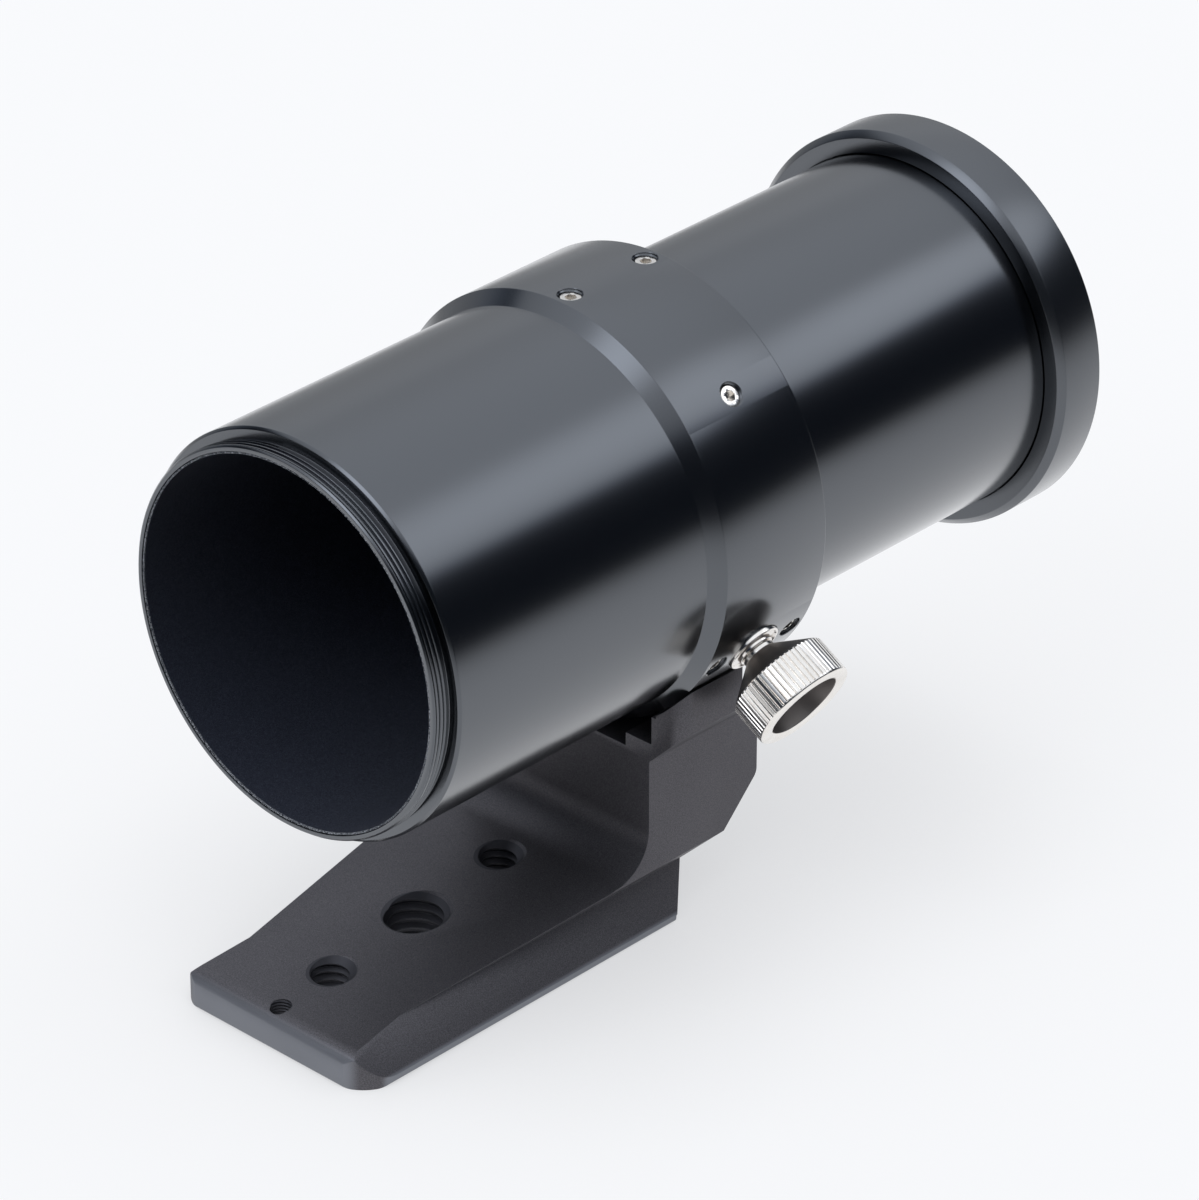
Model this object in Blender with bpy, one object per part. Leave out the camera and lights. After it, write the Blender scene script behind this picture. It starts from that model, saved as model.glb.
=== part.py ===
"""Lens barrel with a sliding draw tube, carried by a dovetail foot.

The barrel's axis runs along +Y at AXIS_HEIGHT over the foot's bottom face. The origin lies on that
face, on the middle plane, under the front edge of the clamping collar. +Z is up.
"""
import math

import bmesh
import bpy
from mathutils import Matrix, Vector

MM = 0.001

# Fits
SEAT_GAP = 0.15 * MM
RUNNING_GAP = 0.15 * MM
LINING_GAP = 0.10 * MM
FACE_GAP = 0.30 * MM

# Barrel, turned in one piece with its collar
AXIS_HEIGHT = 62.1 * MM
FRONT_TUBE_WALL = 2.35 * MM
FRONT_TUBE_LENGTH = 48.0 * MM
NOSE_WALL = 0.85 * MM
NOSE_LENGTH = 3.2 * MM
NOSE_CHAMFER = 0.3 * MM
NOSE_RELIEF_WIDTH = 0.9 * MM
NOSE_RELIEF_DEPTH = 0.35 * MM
COLLAR_WALL = 3.25 * MM
COLLAR_LENGTH = 22.3 * MM
EDGE_CHAMFER = 0.4 * MM
LINING_THICKNESS = 0.25 * MM
GROOVE_FRONT_LIP = 0.8 * MM
GROOVE_REAR_LIP = 1.0 * MM

# Draw tube and its end ring
DRAW_TUBE_RADIUS = 27.0 * MM
DRAW_TUBE_WALL = 0.8 * MM
DRAW_TUBE_EXPOSED = 51.9 * MM
DRAW_TUBE_IN_RING = 3.0 * MM
DRAW_TUBE_CHAMFER = 0.3 * MM
DRAW_TUBE_SHORT_OF_GROOVE = 0.2 * MM
END_RING_WALL = 3.25 * MM
END_RING_LENGTH = 8.7 * MM
END_RING_CHAMFER = 1.0 * MM
END_RING_LAND_STEP = 0.2 * MM
END_RING_LAND_WIDTH = 0.6 * MM
END_RING_MOUTH_CHAMFER = 0.4 * MM

# Split guide ring in the collar's groove
GUIDE_RING_WALL = 1.4 * MM
GUIDE_RING_SPLIT = 1.6 * MM
GUIDE_RING_SPLIT_ANGLE = 150.0

# Set screws, as angles round the barrel from +X towards +Z
SCREW_PLANE = 12.1 * MM
PAIR_SPACING = 15.0 * MM
PAIR_ANGLES = {"top": 90.0, "right": -30.0, "left": 210.0}
SINGLE_SCREW_ANGLE = 43.5
SET_SCREW_RADIUS = 1.75 * MM
SET_SCREW_CHAMFER = 0.15 * MM
SET_SCREW_RECESS = 0.9 * MM
SET_SCREW_TIP_RADIUS = 1.1 * MM
SET_SCREW_SOCKET_FLATS = 1.5 * MM
SET_SCREW_SOCKET_DEPTH = 1.2 * MM
HOLE_MOUTH_CHAMFER = 0.15 * MM

# Thumb screw, its bush and its pad
THUMB_SCREW_ANGLE = -30.0
BUSH_RADIUS = 3.0 * MM
BUSH_FLANGE_RADIUS = 4.2 * MM
BUSH_FLANGE_THICKNESS = 0.8 * MM
BUSH_SEAT_DEPTH = 0.45 * MM
BUSH_EDGE = 0.2 * MM
BUSH_BOSS_RADIUS = 2.8 * MM
BUSH_BOSS_HEIGHT = 0.4 * MM
STUD_RADIUS = 2.0 * MM
PAD_THICKNESS = 1.0 * MM
HUB_RADIUS = 2.5 * MM
HUB_LENGTH = 0.6 * MM
CONE_LENGTH = 3.9 * MM
HEAD_RADIUS = 7.75 * MM
HEAD_LENGTH = 6.15 * MM
HEAD_RIM = 0.6 * MM
HEAD_RIM_WIDTH = 0.7 * MM
HEAD_BASE_CHAMFER = 0.35 * MM
HEAD_CUP_RADIUS = 5.6 * MM
HEAD_CUP_DEPTH = 3.6 * MM
HEAD_CUP_FLARE = 0.2 * MM
FLUTE_COUNT = 60
FLUTE_DEPTH = 0.26 * MM
FLUTE_WIDTH_SHARE = 0.4

# Foot: clamp plate, stem and cradle, machined in one piece
FOOT_HALF_WIDTH = 19.05 * MM
PLATE_FRONT = -56.3 * MM
PLATE_REAR = 6.1 * MM
PLATE_END_HEIGHT = 1.1 * MM
PLATE_NOSE_HEIGHT = 5.2 * MM
PLATE_TOP_SLOPE = math.radians(6.7)
PLATE_FRONT_ROUND = 3.6 * MM
PLATE_EDGE_ROUND = 0.8 * MM
PLATE_CORNER_RADIUS = 4.5 * MM
CLAMP_LIP_HEIGHT = 1.3 * MM
CLAMP_LIP_RISE = 5.2 * MM
CLAMP_GROOVE_DEPTH = 4.4 * MM
STEM_FRONT = 0.35 * MM
STEM_REAR = 22.7 * MM
HAUNCH_TOP = 17.5 * MM
HAUNCH_TOP_ROUND = 3.5 * MM
HAUNCH_FOOT_ROUND = 2.0 * MM
STEM_REAR_ROUND = 2.0 * MM
STEM_TOP_BELOW_COLLAR = 1.05 * MM
STEM_TOP_CHAMFER_RUN = 5.15 * MM
STEM_TOP_CHAMFER_DROP = 6.1 * MM
CHEEK_HALF_WIDTH = 25.2 * MM
CHEEK_GAP = 0.95 * MM
CHEEK_FRONT_ROUND = 2.4 * MM
CRADLE_RIDGE_HALF_WIDTH = 19.4 * MM
CRADLE_RIDGE_LAND = 0.8 * MM
CRADLE_LEDGE_ABOVE_COLLAR_FOOT = 1.95 * MM
CRADLE_FLOOR_HALF_WIDTH = 14.5 * MM

# Holes in the plate: place along Y, thread radius, mouth radius
PLATE_HOLES = {
    "pin_hole": (-53.7 * MM, 1.5 * MM, 1.7 * MM),
    "front_quarter_inch": (-43.7 * MM, 3.18 * MM, 3.75 * MM),
    "three_eighths_inch": (-27.1 * MM, 4.76 * MM, 4.9 * MM),
    "rear_quarter_inch": (-10.4 * MM, 3.18 * MM, 3.75 * MM),
}

# Screws from the collar down into the stem
FOOT_SCREW_PLACES = {"front": 6.0 * MM, "rear": 15.0 * MM}
FOOT_SCREW_RADIUS = 2.0 * MM
FOOT_SCREW_HEAD_RADIUS = 3.7 * MM
FOOT_SCREW_RECESS = 0.25 * MM
FOOT_SCREW_LENGTH = 12.0 * MM
FOOT_SCREW_SOCKET_FLATS = 2.5 * MM
FOOT_SCREW_SOCKET_DEPTH = 1.3 * MM

# Facets
TUBE_SEGMENTS = 72
BUSH_SEGMENTS = 40
SCREW_SEGMENTS = 20
ARC_STEP = math.radians(9.0)
SMOOTH_ANGLE = math.radians(30.0)
MERGE_DISTANCE = 0.000001
OVERCUT = 2.0 * MM

# Places that follow from the sizes above
LINING_RADIUS = DRAW_TUBE_RADIUS + 2.0 * RUNNING_GAP
BORE_RADIUS = LINING_RADIUS + LINING_THICKNESS + LINING_GAP
FRONT_TUBE_RADIUS = BORE_RADIUS + FRONT_TUBE_WALL
NOSE_RADIUS = BORE_RADIUS + NOSE_WALL
GUIDE_INNER_RADIUS = DRAW_TUBE_RADIUS + RUNNING_GAP
GUIDE_OUTER_RADIUS = GUIDE_INNER_RADIUS + GUIDE_RING_WALL
GROOVE_RADIUS = GUIDE_OUTER_RADIUS + RUNNING_GAP
COLLAR_RADIUS = GROOVE_RADIUS + COLLAR_WALL
GROOVE_REAR = COLLAR_LENGTH - GROOVE_REAR_LIP
SHOULDER_Y = -FRONT_TUBE_LENGTH
NOSE_Y = SHOULDER_Y - NOSE_LENGTH
DRAW_TUBE_FRONT = GROOVE_FRONT_LIP + DRAW_TUBE_SHORT_OF_GROOVE
END_RING_FRONT = COLLAR_LENGTH + DRAW_TUBE_EXPOSED
END_RING_REAR = END_RING_FRONT + END_RING_LENGTH
DRAW_TUBE_REAR = END_RING_FRONT + DRAW_TUBE_IN_RING
DRAW_TUBE_BORE = DRAW_TUBE_RADIUS - DRAW_TUBE_WALL
END_RING_SEAT = DRAW_TUBE_RADIUS + SEAT_GAP
END_RING_RADIUS = END_RING_SEAT + END_RING_WALL
END_RING_LAND_RADIUS = DRAW_TUBE_BORE + END_RING_LAND_STEP
END_RING_THREAD_RADIUS = NOSE_RADIUS
SET_SCREW_TIP = GROOVE_RADIUS + RUNNING_GAP
SET_SCREW_HEAD = COLLAR_RADIUS - SET_SCREW_RECESS
BUSH_SEAT = COLLAR_RADIUS - BUSH_SEAT_DEPTH
BUSH_FLANGE_TOP = BUSH_SEAT + BUSH_FLANGE_THICKNESS
BUSH_TOP = BUSH_FLANGE_TOP + BUSH_BOSS_HEIGHT
PAD_FRONT = GROOVE_RADIUS + RUNNING_GAP
STUD_TIP = PAD_FRONT + PAD_THICKNESS + SEAT_GAP
BUSH_BORE = STUD_RADIUS + SEAT_GAP
HEAD_BASE = BUSH_TOP + SEAT_GAP + HUB_LENGTH + CONE_LENGTH
CLAMP_NECK_HEIGHT = CLAMP_LIP_HEIGHT + CLAMP_LIP_RISE
CLAMP_TOP = CLAMP_NECK_HEIGHT + CLAMP_GROOVE_DEPTH
STEM_TOP = AXIS_HEIGHT - COLLAR_RADIUS - STEM_TOP_BELOW_COLLAR
STEM_TOP_REAR = STEM_REAR - STEM_TOP_CHAMFER_RUN
CRADLE_FLOOR = AXIS_HEIGHT - COLLAR_RADIUS - SEAT_GAP
CRADLE_LEDGE = AXIS_HEIGHT - COLLAR_RADIUS + CRADLE_LEDGE_ABOVE_COLLAR_FOOT

# Finishes: colour, roughness, metallic
FINISHES = {
    "black_anodised": ((0.018, 0.020, 0.024), 0.34, 0.85),
    "blasted_anodised": ((0.030, 0.029, 0.031), 0.62, 0.70),
    "flock": ((0.008, 0.008, 0.009), 0.95, 0.0),
    "nickel": ((0.78, 0.74, 0.68), 0.22, 1.0),
    "black_acetal": ((0.02, 0.02, 0.02), 0.5, 0.0),
    "brass": ((0.70, 0.52, 0.25), 0.35, 1.0),
    "black_steel": ((0.03, 0.03, 0.032), 0.45, 0.9),
}


def clear_scene():
    """Remove whatever the scene holds."""
    for item in list(bpy.data.objects):
        bpy.data.objects.remove(item)


def material(finish, name):
    """One Principled material for one sub-part."""
    colour, roughness, metallic = FINISHES[finish]
    made = bpy.data.materials.new(name)
    made.use_nodes = True
    shader = made.node_tree.nodes["Principled BSDF"]
    shader.inputs["Base Color"].default_value = (*colour, 1.0)
    shader.inputs["Roughness"].default_value = roughness
    shader.inputs["Metallic"].default_value = metallic
    made.diffuse_color = (*colour, 1.0)
    return made


def finished_mesh(name, mesh_work):
    """Turn a bmesh into a closed mesh with outward faces."""
    bmesh.ops.remove_doubles(mesh_work, verts=mesh_work.verts, dist=MERGE_DISTANCE)
    bmesh.ops.recalc_face_normals(mesh_work, faces=mesh_work.faces)
    mesh = bpy.data.meshes.new(name)
    mesh_work.to_mesh(mesh)
    mesh_work.free()
    mesh.shade_smooth()
    mesh.set_sharp_from_angle(angle=SMOOTH_ANGLE)
    return mesh


def placed(name, mesh, frame=None):
    """Link an object that shows a mesh in a frame."""
    made = bpy.data.objects.new(name, mesh)
    bpy.context.scene.collection.objects.link(made)
    if frame is not None:
        made.location = frame.to_translation()
        made.rotation_euler = frame.to_euler()
    return made


def part(name, mesh, finish, frame=None):
    """A named sub-part with its own material."""
    made = placed(name, mesh, frame)
    mesh.materials.clear()
    mesh.materials.append(material(finish, name))
    return made


def barrel_frame():
    """Local Z runs along the barrel's axis."""
    return Matrix.Translation((0.0, 0.0, AXIS_HEIGHT)) @ Matrix.Rotation(-math.pi / 2.0, 4, "X")


def radial_frame(angle, along):
    """Local Z points out of the barrel's axis at an angle from +X; local X runs along the barrel."""
    turn = math.radians(angle)
    outward = Vector((math.cos(turn), 0.0, math.sin(turn)))
    lengthwise = Vector((0.0, 1.0, 0.0))
    across = outward.cross(lengthwise)
    frame = Matrix((lengthwise, across, outward)).transposed().to_4x4()
    frame.translation = Vector((0.0, along, AXIS_HEIGHT))
    return frame


def plate_frame(along):
    """Local Z points up from the foot's bottom face."""
    return Matrix.Translation((0.0, along, 0.0))


def turned_mesh(name, outline, segments):
    """Spin a closed outline of (radius, height) points round local Z."""
    work = bmesh.new()
    corners = [work.verts.new((radius, 0.0, height)) for radius, height in outline]
    edges = [work.edges.new((a, b)) for a, b in zip(corners, corners[1:] + corners[:1])]
    bmesh.ops.spin(
        work,
        geom=corners + edges,
        cent=(0.0, 0.0, 0.0),
        axis=(0.0, 0.0, 1.0),
        angle=2.0 * math.pi,
        steps=segments,
        use_merge=True,
    )
    bmesh.ops.remove_doubles(work, verts=work.verts, dist=MERGE_DISTANCE)
    loose = [edge for edge in work.edges if not edge.link_faces]
    bmesh.ops.delete(work, geom=loose, context="EDGES")
    return finished_mesh(name, work)


def prism_mesh(name, outline, low, high, axis):
    """Extrude a closed outline along X, Y or Z; the outline holds the other two coordinates."""
    work = bmesh.new()
    order = {
        "X": lambda a, b, c: (c, a, b),
        "Y": lambda a, b, c: (a, c, b),
        "Z": lambda a, b, c: (a, b, c),
    }
    corners = [work.verts.new(order[axis](a, b, low)) for a, b in outline]
    base = work.faces.new(corners)
    grown = bmesh.ops.extrude_face_region(work, geom=[base])
    raised = [item for item in grown["geom"] if isinstance(item, bmesh.types.BMVert)]
    bmesh.ops.translate(work, verts=raised, vec=order[axis](0.0, 0.0, high - low))
    return finished_mesh(name, work)


def hexagon(flats):
    """Corners of a hexagon from its width across flats."""
    reach = flats / 2.0 / math.cos(math.pi / 6.0)
    return [(reach * math.cos(math.pi * k / 3.0), reach * math.sin(math.pi * k / 3.0)) for k in range(6)]


def arc(centre, radius, start, end):
    """Points on an arc, its ends included."""
    steps = max(2, math.ceil(abs(end - start) / ARC_STEP))
    turns = [start + (end - start) * k / steps for k in range(steps + 1)]
    return [(centre[0] + radius * math.cos(t), centre[1] + radius * math.sin(t)) for t in turns]


def rounded(corners):
    """Outline through (a, b, radius) corners, each rounded by its radius."""
    outline = []
    for before, here, after in zip(corners[-1:] + corners[:-1], corners, corners[1:] + corners[:1]):
        point = Vector(here[:2])
        radius = here[2]
        if radius == 0.0:
            outline.append(tuple(point))
            continue
        back = (Vector(before[:2]) - point).normalized()
        ahead = (Vector(after[:2]) - point).normalized()
        half = back.angle(ahead) / 2.0
        centre = point + (back + ahead).normalized() * (radius / math.sin(half))
        start = point + back * (radius / math.tan(half)) - centre
        end = point + ahead * (radius / math.tan(half)) - centre
        first = math.atan2(start.y, start.x)
        sweep = (math.atan2(end.y, end.x) - first + math.pi) % (2.0 * math.pi) - math.pi
        outline.extend(arc(centre, radius, first, first + sweep))
    return outline


def mirrored(outline):
    """Close a right-hand half outline, given from the middle outwards, with its mirror image."""
    left = [(-a, b) for a, b in reversed(outline) if abs(a) > MERGE_DISTANCE]
    return outline + left


def cutter(name, mesh, frame=None):
    """A hidden tool body for a Boolean."""
    made = placed(name, mesh, frame)
    made.hide_render = True
    made.display_type = "WIRE"
    return made


def combine(target, tool, operation):
    """Add a Boolean that uses a tool body."""
    step = target.modifiers.new(f"{operation.lower()} {tool.name}", "BOOLEAN")
    step.operation = operation
    step.solver = "EXACT"
    step.object = tool


def hole_outline(radius, low, high, mouth_radius, mouth_at):
    """Outline of a hole tool whose mouth widens at 45 degrees up to mouth_at."""
    flare = mouth_radius - radius
    return [
        (0.0, low),
        (radius, low),
        (radius, mouth_at - flare),
        (mouth_radius + OVERCUT, mouth_at + OVERCUT),
        (mouth_radius + OVERCUT, high + OVERCUT),
        (0.0, high + OVERCUT),
    ]


def screw_places():
    """Name, angle and place along the barrel of each set screw."""
    places = {"set_screw_single": (SINGLE_SCREW_ANGLE, SCREW_PLANE)}
    for side, angle in PAIR_ANGLES.items():
        places[f"set_screw_{side}_front"] = (angle, SCREW_PLANE - PAIR_SPACING / 2.0)
        places[f"set_screw_{side}_rear"] = (angle, SCREW_PLANE + PAIR_SPACING / 2.0)
    return places


def foot_screw_outline(grow, head_top, tip):
    """Countersunk screw or its hole, pointing from the axis outwards."""
    cone_end = head_top + FOOT_SCREW_HEAD_RADIUS - FOOT_SCREW_RADIUS
    return [
        (0.0, head_top),
        (FOOT_SCREW_HEAD_RADIUS + grow, head_top),
        (FOOT_SCREW_RADIUS + grow, cone_end),
        (FOOT_SCREW_RADIUS + grow, tip),
        (0.0, tip),
    ]


def build_barrel():
    """Front tube, threaded nose and collar in one turned piece."""
    relief_front = SHOULDER_Y - NOSE_RELIEF_WIDTH
    relief_radius = NOSE_RADIUS - NOSE_RELIEF_DEPTH
    outline = [
        (BORE_RADIUS, NOSE_Y),
        (NOSE_RADIUS - NOSE_CHAMFER, NOSE_Y),
        (NOSE_RADIUS, NOSE_Y + NOSE_CHAMFER),
        (NOSE_RADIUS, relief_front),
        (relief_radius, relief_front),
        (relief_radius, SHOULDER_Y),
        (FRONT_TUBE_RADIUS - EDGE_CHAMFER, SHOULDER_Y),
        (FRONT_TUBE_RADIUS, SHOULDER_Y + EDGE_CHAMFER),
        (FRONT_TUBE_RADIUS, 0.0),
        (COLLAR_RADIUS, COLLAR_RADIUS - FRONT_TUBE_RADIUS),
        (COLLAR_RADIUS, COLLAR_LENGTH - EDGE_CHAMFER),
        (COLLAR_RADIUS - EDGE_CHAMFER, COLLAR_LENGTH),
        (LINING_RADIUS, COLLAR_LENGTH),
        (LINING_RADIUS, GROOVE_REAR),
        (GROOVE_RADIUS, GROOVE_REAR),
        (GROOVE_RADIUS, GROOVE_FRONT_LIP),
        (BORE_RADIUS, GROOVE_FRONT_LIP),
    ]
    mesh = turned_mesh("main_barrel", outline, TUBE_SEGMENTS)
    barrel = part("main_barrel", mesh, "black_anodised", barrel_frame())
    screw_hole = hole_outline(
        SET_SCREW_RADIUS + SEAT_GAP,
        GUIDE_INNER_RADIUS,
        COLLAR_RADIUS,
        SET_SCREW_RADIUS + SEAT_GAP + HOLE_MOUTH_CHAMFER,
        COLLAR_RADIUS,
    )
    for screw, (angle, along) in screw_places().items():
        name = f"{screw}_hole"
        tool = cutter(name, turned_mesh(name, screw_hole, SCREW_SEGMENTS), radial_frame(angle, along))
        combine(barrel, tool, "DIFFERENCE")
    bush_hole = [
        (0.0, GUIDE_INNER_RADIUS),
        (BUSH_RADIUS + SEAT_GAP, GUIDE_INNER_RADIUS),
        (BUSH_RADIUS + SEAT_GAP, BUSH_SEAT),
        (BUSH_FLANGE_RADIUS + SEAT_GAP, BUSH_SEAT),
        (BUSH_FLANGE_RADIUS + SEAT_GAP, COLLAR_RADIUS + OVERCUT),
        (0.0, COLLAR_RADIUS + OVERCUT),
    ]
    frame = radial_frame(THUMB_SCREW_ANGLE, SCREW_PLANE)
    tool = cutter("bush_hole", turned_mesh("bush_hole", bush_hole, BUSH_SEGMENTS), frame)
    combine(barrel, tool, "DIFFERENCE")
    for place, along in FOOT_SCREW_PLACES.items():
        head_top = GROOVE_RADIUS + FOOT_SCREW_RECESS - SEAT_GAP
        sunk = foot_screw_outline(SEAT_GAP, head_top, COLLAR_RADIUS + OVERCUT)
        sunk[0] = (0.0, GUIDE_INNER_RADIUS)
        sunk.insert(1, (FOOT_SCREW_HEAD_RADIUS + SEAT_GAP, GUIDE_INNER_RADIUS))
        name = f"foot_screw_{place}_collar_hole"
        tool = cutter(name, turned_mesh(name, sunk, SCREW_SEGMENTS), radial_frame(-90.0, along))
        combine(barrel, tool, "DIFFERENCE")
    return barrel


def build_linings():
    """Flocked sleeves inside the front tube and the draw tube."""
    front = [
        (LINING_RADIUS, NOSE_Y + SEAT_GAP),
        (LINING_RADIUS + LINING_THICKNESS, NOSE_Y + SEAT_GAP),
        (LINING_RADIUS + LINING_THICKNESS, 0.0),
        (LINING_RADIUS, 0.0),
    ]
    sleeve = turned_mesh("front_lining", front, TUBE_SEGMENTS)
    part("front_lining", sleeve, "flock", barrel_frame())
    outer = DRAW_TUBE_BORE - LINING_GAP
    inner = outer - LINING_THICKNESS
    start = DRAW_TUBE_FRONT + DRAW_TUBE_CHAMFER
    end = DRAW_TUBE_REAR - SEAT_GAP
    rear = [(inner, start), (outer, start), (outer, end), (inner, end)]
    sleeve = turned_mesh("draw_tube_lining", rear, TUBE_SEGMENTS)
    part("draw_tube_lining", sleeve, "flock", barrel_frame())


def build_guide_ring():
    """Split ring that takes the play out of the draw tube."""
    start = GROOVE_FRONT_LIP + SEAT_GAP
    end = GROOVE_REAR - SEAT_GAP
    outline = [
        (GUIDE_INNER_RADIUS, start),
        (GUIDE_OUTER_RADIUS, start),
        (GUIDE_OUTER_RADIUS, end),
        (GUIDE_INNER_RADIUS, end),
    ]
    whole = turned_mesh("guide_ring", outline, TUBE_SEGMENTS)
    ring = part("guide_ring", whole, "black_acetal", barrel_frame())
    half = GUIDE_RING_SPLIT / 2.0
    slot = [(-OVERCUT, -half), (end + OVERCUT, -half), (end + OVERCUT, half), (-OVERCUT, half)]
    reach = GUIDE_INNER_RADIUS - OVERCUT
    gap = prism_mesh("guide_ring_split", slot, reach, GUIDE_OUTER_RADIUS + OVERCUT, "Z")
    tool = cutter("guide_ring_split", gap, radial_frame(GUIDE_RING_SPLIT_ANGLE, 0.0))
    combine(ring, tool, "DIFFERENCE")


def build_draw_tube():
    """Sliding tube with its threaded end ring."""
    tube = [
        (DRAW_TUBE_BORE, DRAW_TUBE_FRONT),
        (DRAW_TUBE_RADIUS - DRAW_TUBE_CHAMFER, DRAW_TUBE_FRONT),
        (DRAW_TUBE_RADIUS, DRAW_TUBE_FRONT + DRAW_TUBE_CHAMFER),
        (DRAW_TUBE_RADIUS, DRAW_TUBE_REAR),
        (DRAW_TUBE_BORE, DRAW_TUBE_REAR),
    ]
    part("draw_tube", turned_mesh("draw_tube", tube, TUBE_SEGMENTS), "black_anodised", barrel_frame())
    land_front = DRAW_TUBE_REAR + FACE_GAP
    land_rear = land_front + END_RING_LAND_WIDTH
    ring = [
        (END_RING_SEAT, END_RING_FRONT),
        (END_RING_RADIUS - END_RING_CHAMFER, END_RING_FRONT),
        (END_RING_RADIUS, END_RING_FRONT + END_RING_CHAMFER),
        (END_RING_RADIUS, END_RING_REAR - EDGE_CHAMFER),
        (END_RING_RADIUS - EDGE_CHAMFER, END_RING_REAR),
        (END_RING_THREAD_RADIUS + END_RING_MOUTH_CHAMFER, END_RING_REAR),
        (END_RING_THREAD_RADIUS, END_RING_REAR - END_RING_MOUTH_CHAMFER),
        (END_RING_THREAD_RADIUS, land_rear),
        (END_RING_LAND_RADIUS, land_rear),
        (END_RING_LAND_RADIUS, land_front),
        (END_RING_SEAT, land_front),
    ]
    part("end_ring", turned_mesh("end_ring", ring, TUBE_SEGMENTS), "black_anodised", barrel_frame())


def baked_with_socket(name, outline, flats, bottom, top):
    """A turned screw with a hexagon socket, as one plain mesh."""
    blank = placed(name, turned_mesh(name, outline, SCREW_SEGMENTS))
    tool = cutter(f"{name}_socket", prism_mesh(f"{name}_socket", hexagon(flats), bottom, top, "Z"))
    combine(blank, tool, "DIFFERENCE")
    evaluated = blank.evaluated_get(bpy.context.evaluated_depsgraph_get())
    mesh = bpy.data.meshes.new_from_object(evaluated)
    bpy.data.objects.remove(blank)
    bpy.data.objects.remove(tool)
    return mesh


def build_set_screws():
    """Socket set screws that bear on the guide ring."""
    head = SET_SCREW_HEAD
    tip_chamfer = SET_SCREW_RADIUS - SET_SCREW_TIP_RADIUS
    outline = [
        (0.0, SET_SCREW_TIP),
        (SET_SCREW_TIP_RADIUS, SET_SCREW_TIP),
        (SET_SCREW_RADIUS, SET_SCREW_TIP + tip_chamfer),
        (SET_SCREW_RADIUS, head - SET_SCREW_CHAMFER),
        (SET_SCREW_RADIUS - SET_SCREW_CHAMFER, head),
        (0.0, head),
    ]
    floor = head - SET_SCREW_SOCKET_DEPTH
    mesh = baked_with_socket("set_screw", outline, SET_SCREW_SOCKET_FLATS, floor, head + OVERCUT)
    for name, (angle, along) in screw_places().items():
        part(name, mesh.copy(), "nickel", radial_frame(angle, along))


def build_foot_screws():
    """Countersunk screws from the collar's groove down into the stem."""
    head_top = GROOVE_RADIUS + FOOT_SCREW_RECESS
    outline = foot_screw_outline(0.0, head_top, head_top + FOOT_SCREW_LENGTH)
    floor = head_top + FOOT_SCREW_SOCKET_DEPTH
    mesh = baked_with_socket("foot_screw", outline, FOOT_SCREW_SOCKET_FLATS, head_top - OVERCUT, floor)
    for place, along in FOOT_SCREW_PLACES.items():
        part(f"foot_screw_{place}", mesh.copy(), "black_steel", radial_frame(-90.0, along))


def build_bush():
    """Flanged bush that carries the thumb screw's thread."""
    outline = [
        (BUSH_BORE, GROOVE_RADIUS + SEAT_GAP),
        (BUSH_RADIUS, GROOVE_RADIUS + SEAT_GAP),
        (BUSH_RADIUS, BUSH_SEAT + SEAT_GAP),
        (BUSH_FLANGE_RADIUS, BUSH_SEAT + SEAT_GAP),
        (BUSH_FLANGE_RADIUS, BUSH_FLANGE_TOP - BUSH_EDGE),
        (BUSH_FLANGE_RADIUS - BUSH_EDGE, BUSH_FLANGE_TOP),
        (BUSH_BOSS_RADIUS, BUSH_FLANGE_TOP),
        (BUSH_BOSS_RADIUS, BUSH_TOP),
        (BUSH_BORE, BUSH_TOP),
    ]
    frame = radial_frame(THUMB_SCREW_ANGLE, SCREW_PLANE)
    part("thumb_screw_bush", turned_mesh("thumb_screw_bush", outline, BUSH_SEGMENTS), "nickel", frame)


def build_pad():
    """Pad at the stud's tip that presses on the guide ring."""
    outline = [
        (0.0, PAD_FRONT),
        (STUD_RADIUS, PAD_FRONT),
        (STUD_RADIUS, PAD_FRONT + PAD_THICKNESS),
        (0.0, PAD_FRONT + PAD_THICKNESS),
    ]
    frame = radial_frame(THUMB_SCREW_ANGLE, SCREW_PLANE)
    part("clamp_pad", turned_mesh("clamp_pad", outline, SCREW_SEGMENTS), "brass", frame)


def screw_ring(work, radius, depth, height):
    """One ring of the thumb screw: a point for each flute, or three where the flute is cut."""
    pitch = 2.0 * math.pi / FLUTE_COUNT
    half_groove = pitch * FLUTE_WIDTH_SHARE / 2.0
    shape = ((0.0, 0.0),)
    if depth > 0.0:
        shape = ((-half_groove, 0.0), (0.0, depth), (half_groove, 0.0))
    ring = []
    for k in range(FLUTE_COUNT):
        for offset, sink in shape:
            turn = k * pitch + offset
            reach = radius - sink
            ring.append(work.verts.new((reach * math.cos(turn), reach * math.sin(turn), height)))
    return ring


def join_equal_rings(work, lower, upper):
    """Side faces between two rings with the same number of points."""
    for k, corner in enumerate(lower):
        after = (k + 1) % len(lower)
        work.faces.new((corner, lower[after], upper[after], upper[k]))


def join_plain_to_fluted(work, plain, fluted):
    """Side faces between a plain ring and a fluted one."""
    for k, corner in enumerate(plain):
        after = plain[(k + 1) % len(plain)]
        bottom, rise, fall, next_bottom = (fluted[(3 * k + step) % len(fluted)] for step in (1, 2, 3, 4))
        work.faces.new((corner, rise, bottom))
        work.faces.new((corner, after, fall, rise))
        work.faces.new((after, next_bottom, fall))


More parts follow.
